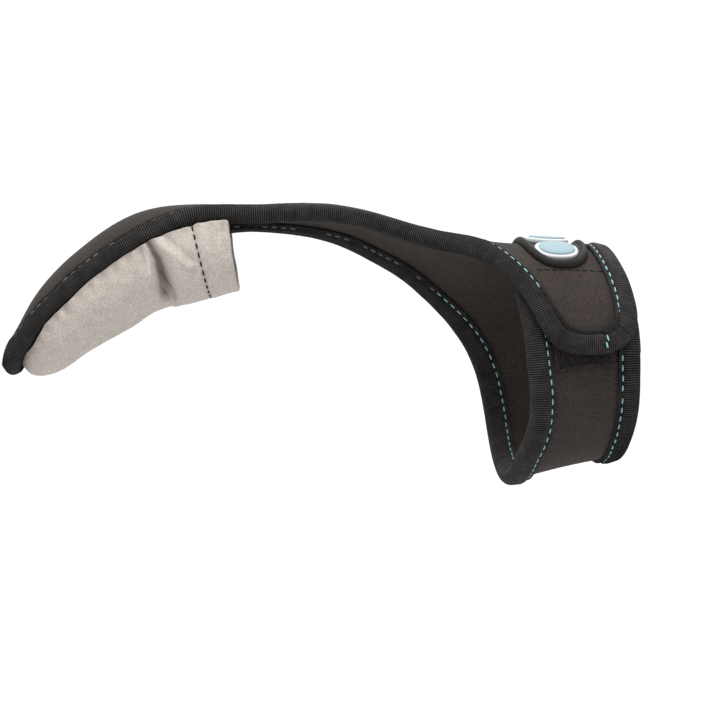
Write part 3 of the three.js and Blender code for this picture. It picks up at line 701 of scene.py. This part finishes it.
def fold_profile(leg):
    """The tape's closed section: way in from the edge and height over the cloth's middle."""
    seam = leg - sizes().groove_inset
    puff = sizes().tape_puff
    groove = sizes().groove_depth
    middle = (seam - FOLD_START) / 2
    half = [
        (leg, SKIN - 0.3 * MM),
        (leg - 0.3 * MM, SKIN - 0.02 * MM),
        (seam + 0.45 * MM, SKIN - 0.12 * MM),
        (seam, SKIN - groove),
        (seam - 0.5 * MM, SKIN - 0.15 * groove),
        (seam - 0.45 * middle, SKIN + 0.7 * puff),
        (FOLD_START + middle, SKIN + puff),
        (FOLD_START, SKIN + 0.55 * puff),
    ]
    for turn in (22, 44, 66):
        angle = math.radians(turn)
        half.append(
            (
                FOLD_START - (FOLD_START + FOLD_REACH) * math.sin(angle),
                (SKIN + 0.55 * puff) * math.cos(angle) ** 0.8,
            )
        )
    outer = [*half, (-FOLD_REACH, 0.0), *[(d, -h) for d, h in reversed(half)]]
    inner = [(leg, -TAPE_INNER), (0.3 * MM, -TAPE_INNER), (0.3 * MM, TAPE_INNER), (leg, TAPE_INNER)]
    return outer, inner


def lap_rise(place):
    """Share of the lap's step at a place on the outside of the flap's corner."""
    away = (place - LAP_CORNER).dot(LAP_WAY)
    near = (place - LAP_CORNER).length
    if near > LAP_REACH or away < 0:
        return 0.0
    rise = min(1.0, away / LAP_EDGE)
    return rise * max(0.0, min(1.0, (LAP_LENGTH - away) / LAP_FADE))


def make_tape():
    """The folded section walked round the edge: each rib is one ring out and one ring in."""
    ribs =round(edge_path(EDGE_PLACES).length / sizes().rib_pitch)
    rings = 2 * ribs
    path = edge_path(rings)
    stitches = round(path.length / sizes().stitch_pitch)
    outer, inner = fold_profile(sizes().tape_leg)
    rows = len(outer) + len(inner)
    bm = bmesh.new()
    bm.loops.layers.uv.new("tape")
    bmesh.ops.create_grid(bm, x_segments=rings, y_segments=rows, size=0.5, calc_uvs=True)
    sections = {}
    for v in bm.verts:
        ring = round((v.co.x + 0.5) * rings) % rings
        row = round((v.co.y + 0.5) * rows) % rows
        if ring not in sections:
            outer, inner = fold_profile(path.leg(ring))
            sections[ring] = outer + inner
        inset, height = sections[ring][row]
        share = ring / rings
        if row < len(outer) and height:
            side = 1 if height > 0 else -1
            wave = noise.noise(Vector((share * 150, row * 0.4, 3.0)))
            rib = (1 if ring % 2 else -1) * sizes().rib_height / 2
            from_seam = min(abs(row - 3), abs(len(outer) - 4 - row))
            pull = math.cos(2 * math.pi * share * stitches) * max(0.0, 1 - from_seam / 3)
            height += side * (0.09 * wave + 0.06 * pull) * MM + side * rib
            if side > 0:
                height += sizes().lap_step * lap_rise(path.place[ring])
        v.co = path.at(ring, inset, height)
    bmesh.ops.remove_doubles(bm, verts=bm.verts, dist=0.000003)
    bmesh.ops.recalc_face_normals(bm, faces=bm.faces)
    piece = new_piece(
        "edge_tape", bm, material("ribbed_tape", tape_material, ribs), ["edge_binding"]
    )


PATHS = {}


def edge_path(count):
    """The edge path with that many places, worked out once."""
    if count not in PATHS:
        PATHS[count] = EdgePath(count)
    return PATHS[count]


# The finger pocket

# Its lines are drawn in the side view, across along SIDE_WAY and up along Z. The folds on
# the far side have FAR_FOLD_SHARE of the near side's depth.
SIDE_WAY = Vector((math.cos(VIEW_TURN), math.sin(VIEW_TURN), 0))
SLICE = 4 * MM
SEAM_CLEAR = 2.2 * MM
SEAM_FADE = 2.6 * MM
HEM_TOP =(-0.1093, 0.0428)
HEM_FOOT = (-0.1043, 0.0220)
CREASE = [(-0.1222, 0.0372), (-0.1196, 0.0324), (-0.1186, 0.0264), (-0.1182, 0.0195)]
SECOND_FOLD = [(-0.1180, 0.0372), (-0.1142, 0.0338), (-0.1100, 0.0302)]
FAR_FOLD_SHARE = 0.5


def hem_plane():
    """A place on the hem's sewn line and the direction from it to the pocket's mouth."""
    way = SIDE_WAY * (HEM_TOP[1] - HEM_FOOT[1]) + Vector((0, 0, HEM_FOOT[0] - HEM_TOP[0]))
    return SIDE_WAY * HEM_TOP[0] + Vector((0, 0, HEM_TOP[1])), way.normalized()


def from_line(line, across, up):
    """How far along a line in the side view a place lies, 0 to 1, and how far to its right."""
    best = None
    for k, (start, end) in enumerate(zip(line, line[1:])):
        run = Vector(end) - Vector(start)
        offset = Vector((across, up)) - Vector(start)
        share = min(1.0, max(0.0, offset.dot(run) / run.dot(run)))
        gap = offset - run * share
        side = -1 if run.x * offset.y - run.y * offset.x < 0 else 1
        if best is None or gap.length < abs(best[1]):
            best = ((k + share) / (len(line) - 1), side * gap.length)
    return best


def bell(value, width):
    """A smooth hump, 1 at zero and almost gone at twice its width."""
    return math.exp(-((value / width) ** 2))


def fold_lift(place):
    """Height of the folds at the finger's bend, laid out in the side view."""
    across = place.dot(SIDE_WAY)
    share, right = from_line(CREASE, across, place.z)
    width = (0.75 + 1.0 * share) * MM
    depth = sizes().crease_depth * (0.75 + 0.35 * share) * (1 - max(0.0, 3 * share - 2) ** 2)
    valley = right - 0.4 * width
    lift = -depth * bell(valley, width if valley < 0 else (1.0 + 1.1 * share) * width)
    lift += 0.6 * depth * bell(right + 2.0 * width, 1.3 * width)
    lift += 0.2 * depth * bell(right - 4.0 * width, 1.5 * width)
    share, right = from_line(SECOND_FOLD, across, place.z)
    lift += 0.7 * MM * bell(right, 1.4 * MM) - 0.5 * MM * bell(right - 2.3 * MM, 1.2 * MM)
    return lift


def pocket_middle(bm):
    """A function that gives the middle of the pocket at a place along the hand."""
    slices = {}
    for v in bm.verts:
        slices.setdefault(round(v.co.x / SLICE), []).append(v.co)
    middles = {key: sum(found, Vector()) / len(found) for key, found in slices.items()}

    def middle(x):
        key = min(middles, key=lambda k: abs(k - x / SLICE))
        return middles[key]

    return middle


def make_pocket():
    """The pocket: puckers along its seam, the hem's step and groove, and the folds, with painted
    shade along the seam, in the groove and in the crease.
    """
    bm = softened(merged("finger_pocket"), 3, crease=0.9)
    hem, out = hem_plane()
    centre = pocket_middle(bm)
    path = edge_path(EDGE_PLACES)
    tree = KDTree(path.count)
    for index, place in enumerate(path.place):
        tree.insert(place, index)
    tree.balance()
    seam = bm.verts.layers.float.new("seam")
    bm.normal_update()
    facing = SIDE_WAY.cross(Vector((0, 0, 1)))
    puckers = round(path.length / sizes().pucker_pitch)
    lifts = {}
    for v in bm.verts:
        _, index, away = tree.find(v.co)
        past = (v.co - hem).dot(out)
        near = math.exp(-(max(0.0, away - SEAM_CLEAR) / SEAM_FADE) ** 1.3)
        share = index / path.count
        swing = noise.noise(Vector((share * 90, 0.0, 7.0)))
        wave = math.cos(2 * math.pi * share * puckers + 2.6 * swing) * (0.6 + 0.8 * swing)
        groove = bell(past, 0.7 * MM)
        hem_side = 1 / (1 + math.exp(-max(-40.0, min(40.0, past / (0.35 * MM)))))
        folds = fold_lift(v.co)
        # Painted shade: darker along the tape's edge and its puckers, which is partly dirt, in the
        # hem's groove and in the crease's hollow.
        dark = near * (0.45 + 0.5 * wave) + 0.3 * groove + 0.4 * max(0.0, -folds / MM - 0.3)
        v[seam] = max(0.0, min(1.0, dark))
        lift = sizes().pucker_depth * near * wave
        lift += (0.26 * noise.noise(v.co * 120) + 0.12 * noise.noise(v.co * 330)) * MM
        lift += (0.22 * hem_side - 0.3 * groove) * MM
        from_middle = v.co - centre(v.co.x)
        outward = v.normal if v.normal.dot(from_middle) > 0 else -v.normal
        sideways = facing if from_middle.dot(facing) > 0 else -FAR_FOLD_SHARE * facing
        weight = min(1.0, max(0.0, 1.9 * abs(outward.dot(facing)) - 0.45)) * (1 - 0.6 * near)
        lifts[v] = outward * lift + sideways * folds * weight
    for v, lift in lifts.items():
        v.co += lift
    area = sum(face.calc_area() for face in bm.faces) / 2
    piece = new_piece(
        "suede_pocket", bm, material("brushed_suede", suede_material), ["finger_pocket"]
    )


# Sewing

FLAP_ROW_FROM = -0.0125
FLAP_ROW_TO = 0.0105
FLAP_ROW_ACROSS = 19.6 * MM
FLAP_ROW_STITCHES = 11
FLAP_TEAL_END = 0.0235
LAP_TEAL_END = 0.0160
LAP_BAR_STITCHES = 46
PATCH_ROW_STITCHES = 9
PATCH_ROW_MARGIN = 1.3 * MM


def stitch_mesh():
    """One stitch: a short fat thread that dips at both ends."""
    bm = bmesh.new()
    bmesh.ops.create_uvsphere(bm, u_segments=6, v_segments=6, radius=0.5)
    bmesh.ops.rotate(bm, verts=bm.verts, matrix=Matrix.Rotation(math.pi / 2, 3, "Y"))
    bmesh.ops.scale(
        bm, verts=bm.verts, vec=(sizes().stitch_length, sizes().thread, sizes().thread * 0.9)
    )
    return as_mesh("stitch", bm)


def turned(place, along, up):
    """The matrix that puts a stitch at a place, along one direction with another up."""
    x = along.normalized()
    z = (up - x * up.dot(x)).normalized()
    return Matrix([*zip(x, z.cross(x), z, place), (0, 0, 0, 1)])


def repeated(mesh, matrices):
    """One bmesh with a copy of the mesh at each matrix."""
    bm = bmesh.new()
    for matrix in matrices:
        mesh.transform(matrix)
        bm.from_mesh(mesh)
        mesh.transform(matrix.inverted())
    bpy.data.meshes.remove(mesh)
    return bm


def tape_stitches():
    """Both rows of sewing along the tape: teal at the wrist, grey and dark elsewhere."""
    path = edge_path(EDGE_PLACES)
    count = round(path.length / sizes().stitch_pitch)
    sunk = SKIN - sizes().groove_depth + 0.32 * MM
    rows = {"teal": [], "dark": [], "grey": []}
    dice = random.Random(5)
    for k in range(count):
        index = round(path.count * k / count) % path.count
        inset = path.leg(index) - sizes().groove_inset
        for side in (1, -1):
            jog = dice.uniform(-0.12, 0.12) * MM
            rim = path.place[index]
            height = sunk + 0.4 * MM * max(path.neck(index), 0.45 if rim.x < WRIST_X else 0.0)
            here = path.at(index, inset + jog, side * height)
            ahead = path.at((index + 1) % path.count, inset + jog, side * height)
            behind = path.at(index - 1, inset + jog, side * height)
            base = path.at(index, inset, side * (height - 0.5 * MM))
            matrix = turned(here, ahead - behind, here - base)
            if here.x < WRIST_X:
                rows["grey" if dice.random() < 0.7 else "dark"].append(matrix)
            elif flap_end(index, here):
                rows["dark"].append(matrix)
            else:
                rows["teal"].append(matrix)
    return rows


def lap_index():
    """The place on the path nearest the tape's lapped end."""
    path = edge_path(EDGE_PLACES)
    return min(range(path.count), key=lambda i: (path.place[i] - LAP_CORNER).length)


def flap_end(index, place):
    """Whether a place along the path lies round the flap's free end, sewn in dark thread."""
    past = index - lap_index()
    if -45 < past <= 0:
        return place.z < FLAP_TEAL_END
    return 0 < past < 30 and place.z < LAP_TEAL_END


def lap_stitches():
    """The dark bar at the tape's lapped end and the two teal stitches below it."""
    path = edge_path(EDGE_PLACES)
    corner = lap_index()
    dice = random.Random(8)
    dark = []
    for _ in range(LAP_BAR_STITCHES):
        index = corner + dice.randint(-8, 0)
        inset = path.leg(index) - dice.uniform(-0.3, 1.9) * MM
        here = path.at(index, inset, SKIN + 0.35 * MM)
        along = path.at(index + 1, inset, SKIN) - path.at(index - 1, inset, SKIN)
        across = path.at(index, inset - MM, SKIN) - path.at(index, inset + MM, SKIN)
        lean = dice.uniform(-0.7, 0.7)
        up = here - path.at(index, inset, SKIN - MM)
        dark.append(turned(here, along.normalized() + across.normalized() * lean, up))
    teal = []
    for index, inset in ((corner - 8, 2.9), (corner - 9, 0.9)):
        here = path.at(index, inset * MM, SKIN + 0.75 * MM)
        across = path.at(index, (inset - 1) * MM, SKIN) - path.at(index, (inset + 1) * MM, SKIN)
        teal.append(turned(here, across, here - path.at(index, inset * MM, SKIN - MM)))
    return teal, dark


def flap_row():
    """The faint row of sewing across the flap, just below the badge."""
    row = []
    for k in range(FLAP_ROW_STITCHES):
        x = FLAP_ROW_FROM + (FLAP_ROW_TO - FLAP_ROW_FROM) * k / (FLAP_ROW_STITCHES - 1)
        here = on_flap(x, FLAP_ROW_ACROSS, 0.05 * MM)
        row.append(turned(here, Vector((1, 0, 0)), here - on_flap(x, FLAP_ROW_ACROSS, -MM)))
    return row


def hem_stitches():
    """The row of sewing round the pocket's hem."""
    bm = made_piece("suede_pocket")
    surface = BVHTree.FromBMesh(bm)
    hem, out = hem_plane()
    cut = bmesh.ops.bisect_plane(
        bm, geom=[*bm.verts, *bm.edges, *bm.faces], plane_co=hem, plane_no=out
    )
    edges = [g for g in cut["geom_cut"] if isinstance(g, bmesh.types.BMEdge)]
    line = max(closed_lines(edges), key=len)
    points = [v.co.copy() for v in line]
    bm.free()
    centre = sum(points, Vector()) / len(points)
    samples = 400
    (places,), length = even_loop(points, samples)
    count = round(length / sizes().stitch_pitch)
    stitches = []
    for k in range(count):
        index = round(samples * k / count) % samples
        place = places[index]
        outward = place - centre
        outward -= out * outward.dot(out)
        outward.normalize()
        skin, facing, _, _ = surface.ray_cast(place + outward * 4 * MM, -outward)
        if skin is None or (skin - place).length > 0.5 * MM or facing.dot(outward) < 0.3:
            continue
        step = places[(index + 2) % samples] - places[index - 2]
        stitches.append(turned(skin + facing * 0.05 * MM, step, facing))
    return stitches


def patch_row():
    """The sewn lower edge of the loop patch on the strap."""
    bm = made_piece("loop_patch_base")
    surface = BVHTree.FromBMesh(bm)
    low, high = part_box("loop_patch")
    dice = random.Random(13)
    row = []
    outside = -0.06
    inward = Vector((0, 1, 0))
    length = high[0] - low[0] - 2 * PATCH_ROW_MARGIN
    for k in range(PATCH_ROW_STITCHES):
        x = low[0] + PATCH_ROW_MARGIN + length * k / (PATCH_ROW_STITCHES - 1)
        edge = next(
            z for z in (low[2] + step * 0.2 * MM for step in range(100))
            if surface.ray_cast(Vector((x, outside, z)), inward)[0] is not None
        )
        z = edge + dice.uniform(0.9, 1.2) * MM
        skin, facing, _, _ = surface.ray_cast(Vector((x, outside, z)), inward)
        along = Vector((1, 0, dice.uniform(-0.15, 0.15)))
        row.append(turned(skin + facing * 0.2 * MM, along, facing))
    bm.free()
    return row


def make_stitches():
    rows = tape_stitches()
    teal, dark = lap_stitches()
    rows["teal"] += teal
    rows["dark"] += dark + hem_stitches() + flap_row() + patch_row()
    for name, colour, slot in (
        ("teal", colours().teal, "thread_teal"),
        ("dark", colours().dark, "thread_dark"),
        ("grey", colours().grey, "thread_dark"),
    ):
        finish = material(f"{name}_thread", thread_material, f"{name}_thread", colour)
        new_piece(f"{name}_sewing", repeated(stitch_mesh(), rows[name]), finish)


# The closure

LOOP_FLAT = (0.0185, 0.030)
HOOK_FLAT = (0.0175, 0.0165)
LOOP_SPREAD = 0.75
HOOK_SPREAD = 0.25
HOOK_DIVISOR = 5
STRAND_FOOT = 0.07 * MM
STRAND_TIP = 0.02 * MM


def strand_mesh():
    """One fibre: a thin cone along Z."""
    strand = bmesh.new()
    bmesh.ops.create_cone(
        strand,
        cap_ends=True,
        segments=3,
        radius1=STRAND_FOOT,
        radius2=STRAND_TIP,
        depth=sizes().fibre,
    )
    return as_mesh("strand", strand)


def standing_strands(patch, side, count, spread, dice):
    """A matrix for each fibre on a patch's outer face, with side 1, or its inner one, with -1."""
    faces = []
    for face in patch.polygons:
        from_middle = Vector((0, face.center.y, face.center.z)).normalized()
        if side * face.normal.dot(from_middle) > 0.5:
            faces.append(face)
    matrices = []
    for _ in range(count):
        face = dice.choice(faces)
        corners = [patch.vertices[i].co for i in face.vertices]
        a, b = dice.random(), dice.random()
        near = corners[0].lerp(corners[1], a)
        far = corners[3 if len(corners) > 3 else 2].lerp(corners[2], a)
        lean = Vector([dice.gauss(0, 1) for _ in range(3)]) * spread
        direction = (face.normal + lean).normalized()
        place = near.lerp(far, b) + direction * sizes().fibre * 0.3
        matrices.append(turned(place, face.normal.orthogonal(), direction))
    return matrices


def make_closure():
    """The loop patch with its pile outwards, and the hook patch with its hooks inwards."""
    dice = random.Random(11)
    finish = material("closure_pile", pile_material)
    for source, flat, side, count, spread in (
        ("loop_patch", LOOP_FLAT, 1, sizes().fibres, LOOP_SPREAD),
        ("hook_patch", HOOK_FLAT, -1, sizes().fibres // HOOK_DIVISOR, HOOK_SPREAD),
    ):
        name = f"{source}_base"
        bm = softened(merged(source), 2, crease=0.8)
        piece = new_piece(name, bm, finish, [source])
        strands = standing_strands(piece.data, side, count, spread, dice)
        new_piece(f"{name}_fibres", repeated(strand_mesh(), strands), finish)


# The badge

FLAP_CENTRE = Vector((0.0, 0.0, 0.0056))
FLAP_RADIUS = 36 * MM
BADGE_X = -0.0051
BADGE_TURN = math.radians(12)
BADGE_ACROSS = -1.3 * MM
# Each outline is half its size along and across, its power and its number of segments.
BADGE_OUTLINE = ((10.2 * MM, 20.2 * MM), 2.6, 96)
OVAL_OUTLINE = ((6.5 * MM, 5.0 * MM), 2.3, 56)
OVAL_STEP = 12.2 * MM
FLAP_SURFACE = {}


def on_flap(x, across, height):
    """A place over the flap: along the wrist, round it from the badge's middle, and up."""
    if not FLAP_SURFACE:
        bm = made_piece("neoprene_shell")
        FLAP_SURFACE["skin"] = BVHTree.FromBMesh(bm)
        bm.free()
    turn = BADGE_TURN + across / FLAP_RADIUS
    out = Vector((0, -math.sin(turn), math.cos(turn)))
    centre = Vector((x, 0, 0)) + FLAP_CENTRE
    hit = FLAP_SURFACE["skin"].ray_cast(centre + out * 0.1, -out)[0]
    if hit is None:
        raise RuntimeError("the flap isn't under the badge")
    return hit + out * height


def moulded_pad(name, centre, outline, rows, rubber, replaced):
    """A rounded pad on the flap: a rim raised by extruding, then filled towards its middle.

    Each row is its way in from the outline, its share of the size, and its height, with
    the first and the last in millimetres. A higher power makes squarer corners.
    """
    half, power, count = outline
    rows = [(inset * MM, share, height * MM) for inset, share, height in rows]
    bm = bmesh.new()
    made = bmesh.ops.create_circle(bm, segments=count, radius=1.0)
    ring = made["verts"]
    angles = {v: math.atan2(v.co.y, v.co.x) for v in ring}

    def shape(verts, inset, share, height):
        for v in verts:
            c = math.cos(angles[v])
            s = math.sin(angles[v])
            size = (abs(c) ** power + abs(s) ** power) ** (-1 / power) * share
            v.co = (
                centre[0] + (half[0] - inset) * c * size,
                centre[1] + (half[1] - inset) * s * size,
                height,
            )

    shape(ring, *rows[0])
    bmesh.ops.contextual_create(bm, geom=ring)
    for inset, share, height in rows[1:]:
        before = {tuple(round(c, 7) for c in v.co): angles[v] for v in ring}
        geom = bmesh.ops.extrude_edge_only(
            bm, edges=[e for e in bm.edges if all(v in ring for v in e.verts)]
        )["geom"]
        ring = [g for g in geom if isinstance(g, bmesh.types.BMVert)]
        for v in ring:
            angles[v] = before[tuple(round(c, 7) for c in v.co)]
        shape(ring, inset, share, height)
    bmesh.ops.contextual_create(bm, geom=ring)
    for v in bm.verts:
        v.co = on_flap(*v.co)
    bmesh.ops.recalc_face_normals(bm, faces=bm.faces)
    finish = material(rubber[0], rubber_material, *rubber)
    new_piece(name, bm, finish, [replaced])


def make_badge():
    """The badge with its lip, and the three ovals, each a white rim round a blue top."""
    lip = sizes().lip / MM
    rows = [(0.3, 1, -0.2), (0, 1, 0.15), (0.1, 1, 0.5 * lip), (0.55, 1, 0.85 * lip)]
    rows += [(1.05, 1, lip), (1.5, 1, lip), (1.85, 1, 0.85 * lip)]
    rows += [(2.05, 1, 0.9), (2.4, 1, 0.62), (2.9, 1, 0.6)]
    rows += [(2.9, share, 0.6) for share in (0.8, 0.6, 0.4, 0.2, 0.05)]
    centre = (BADGE_X, BADGE_ACROSS)
    rubber = ("moulded_rubber", colours().rubber, 0.7)
    moulded_pad(
        "badge_moulding", centre, BADGE_OUTLINE, rows, rubber, "badge_base"
    )
    rim = [(0.1, 1, 0.5), (0, 1, 1.0), (0, 1, 1.7), (0.15, 1, 1.95), (0.5, 1, 2.05)]
    rim += [(1.2, share, 2.05) for share in (1, 0.8, 0.5, 0.2, 0.05)]
    top = [(1.05, 1, 1.9), (1.0, 1, 2.3), (1.15, 1, 2.5), (1.6, 1, 2.62)]
    top += [(1.6, share, 2.66) for share in (0.8, 0.6, 0.4, 0.2, 0.05)]
    white = ("white_rubber", colours().white, 0.8)
    blue = ("blue_rubber", colours().blue, 0.85)
    for k in (1, 2, 3):
        centre = (BADGE_X - 0.6 * MM, BADGE_ACROSS - 0.4 * MM + (k - 2) * OVAL_STEP)
        for name, rows, rubber, slot, replaced in (
            ("oval_rim", rim, white, "pebble_white", "badge_pebble_rim"),
            ("oval", top, blue, "pebble_blue", "badge_pebble"),
        ):
            moulded_pad(
                f"{name}_{k}", centre, OVAL_OUTLINE, rows, rubber, f"{replaced}_{k}"
            )


# The stage

# The floor's profile is the radius and the rise of each ring; it curves up into the backdrop.
# FLOOR_GLOW is the glow that only the camera sees.
FLOOR_HEIGHT = -0.13
FLOOR_PROFILE = [(0.0, 0.0), (1.6, 0.0), (2.0, 0.05), (2.35, 0.22), (2.55, 0.5), (2.6, 0.8)]
FLOOR_GLOW = 0.55
WORLD_STRENGTH = 0.96

# Each lamp has its name, its place, its size and its power in watts.
LAMPS = (
    ("key", (-0.35, -0.4, 1.15), 0.6, 11.0),
    ("fill", (0.9, -0.7, 0.45), 0.9, 1.0),
    ("rim", (0.2, 0.8, 0.95), 0.8, 4.0),
)
LAMP_AIM = Vector((-0.06, 0.01, 0.01))
CAMERA_AIM = Vector((-58.1, 12.4, 2.7)) * MM
CAMERA_DISTANCE = 0.95
VIEW_HALF_WIDTH = 108.6 * MM
SENSOR_WIDTH = 36


def make_floor():
    """The floor and the backdrop: one profile spun round the upright."""
    bm = bmesh.new()
    line = [bm.verts.new((radius, 0, FLOOR_HEIGHT + rise)) for radius, rise in FLOOR_PROFILE]
    edges = [bm.edges.new(pair) for pair in zip(line, line[1:])]
    bmesh.ops.spin(
        bm,
        geom=[*line, *edges],
        cent=(0, 0, 0),
        axis=(0, 0, 1),
        angle=math.tau,
        steps=48,
        use_merge=True,
    )
    bmesh.ops.remove_doubles(bm, verts=bm.verts, dist=0.0001)
    bmesh.ops.recalc_face_normals(bm, faces=bm.faces)
    if bm.faces[0].normal.z < 0:
        bmesh.ops.reverse_faces(bm, faces=bm.faces)
    smooth_object("floor", bm, material("studio_floor", floor_material))


def make_lights():
    """An even white world and three soft lamps."""
    scene = bpy.context.scene
    scene.world = bpy.data.worlds.new("studio")
    scene.world.use_nodes = True
    background = scene.world.node_tree.nodes["Background"]
    background.inputs["Color"].default_value = (1, 1, 1, 1)
    background.inputs["Strength"].default_value = WORLD_STRENGTH
    for name, place, size, power in LAMPS:
        lamp = bpy.data.lights.new(name, "AREA")
        lamp.size = size
        lamp.energy = power
        made = placed(name, lamp)
        made.location = place
        made.rotation_euler = (LAMP_AIM - Vector(place)).to_track_quat("-Z", "Y").to_euler()


def make_camera():
    """The photo's camera: level, and turned towards the fingertip."""
    lens = bpy.data.cameras.new("camera")
    lens.sensor_width = SENSOR_WIDTH
    lens.lens = SENSOR_WIDTH / 2 * CAMERA_DISTANCE / VIEW_HALF_WIDTH
    camera = placed("camera", lens)
    back = Vector((math.sin(VIEW_TURN), -math.cos(VIEW_TURN), 0))
    camera.location = CAMERA_AIM + back * CAMERA_DISTANCE
    camera.rotation_euler = (-back).to_track_quat("-Z", "Y").to_euler()
    bpy.context.scene.camera = camera


def make_stage():
    """Plain display colours, with the floor, the lights and the camera."""
    bpy.context.scene.view_settings.view_transform = "Standard"
    bpy.context.scene.view_settings.look = "None"
    make_floor()
    make_lights()
    make_camera()


# Operators

class GLOVE_OT_stage(bpy.types.Operator):
    """Make the camera, the lights, the floor and the backdrop"""

    bl_idname = "glove.stage"
    bl_label = "Stage"

    def execute(self, context):
        make_stage()
        return {"FINISHED"}


class GLOVE_OT_neoprene(bpy.types.Operator):
    """Make the neoprene shell"""

    bl_idname = "glove.neoprene"
    bl_label = "Neoprene"

    def execute(self, context):
        make_neoprene()
        return {"FINISHED"}


class GLOVE_OT_tape(bpy.types.Operator):
    """Make the ribbed tape round the neoprene's edge"""

    bl_idname = "glove.tape"
    bl_label = "Tape"

    def execute(self, context):
        make_tape()
        return {"FINISHED"}


class GLOVE_OT_pocket(bpy.types.Operator):
    """Make the suede finger pocket with its crease, puckers and hem"""

    bl_idname = "glove.pocket"
    bl_label = "Finger pocket"

    def execute(self, context):
        make_pocket()
        return {"FINISHED"}


class GLOVE_OT_closure(bpy.types.Operator):
    """Make the loop pile and the hook tape"""

    bl_idname = "glove.closure"
    bl_label = "Closure"

    def execute(self, context):
        make_closure()
        return {"FINISHED"}


class GLOVE_OT_badge(bpy.types.Operator):
    """Make the rubber badge with its three raised ovals"""

    bl_idname = "glove.badge"
    bl_label = "Badge"

    def execute(self, context):
        make_badge()
        return {"FINISHED"}


class GLOVE_OT_sewing(bpy.types.Operator):
    """Make the stitches of the tape, the hem and the tape's lapped end"""

    bl_idname = "glove.sewing"
    bl_label = "Sewing"

    def execute(self, context):
        make_stitches()
        return {"FINISHED"}


class GLOVE_PT_panel(bpy.types.Panel):
    """Sizes, colours and makers of the glove"""

    bl_label = "Casting glove"
    bl_idname = "GLOVE_PT_panel"
    bl_space_type = "VIEW_3D"
    bl_region_type = "UI"
    bl_category = "Glove"

    def draw(self, context):
        layout = self.layout
        for maker in MAKERS:
            layout.operator(maker.bl_idname)
        for group in (context.scene.glove_sizes, context.scene.glove_colours):
            box = layout.box()
            for name in group.__annotations__:
                box.prop(group, name)


MAKERS = (
    GLOVE_OT_stage,
    GLOVE_OT_neoprene,
    GLOVE_OT_tape,
    GLOVE_OT_pocket,
    GLOVE_OT_closure,
    GLOVE_OT_badge,
    GLOVE_OT_sewing,
)
CLASSES = (GloveSizes, GloveColours, *MAKERS, GLOVE_PT_panel)


def register():
    for cls in CLASSES:
        bpy.utils.register_class(cls)
    bpy.types.Scene.glove_sizes = PointerProperty(type=GloveSizes)
    bpy.types.Scene.glove_colours = PointerProperty(type=GloveColours)


def unregister():
    del bpy.types.Scene.glove_colours
    del bpy.types.Scene.glove_sizes
    for cls in reversed(CLASSES):
        bpy.utils.unregister_class(cls)


def main():
    register()
    bpy.ops.glove.stage()
    bpy.ops.glove.neoprene()
    bpy.ops.glove.tape()
    bpy.ops.glove.pocket()
    bpy.ops.glove.closure()
    bpy.ops.glove.badge()
    bpy.ops.glove.sewing()


if __name__ == "__main__":
    main()
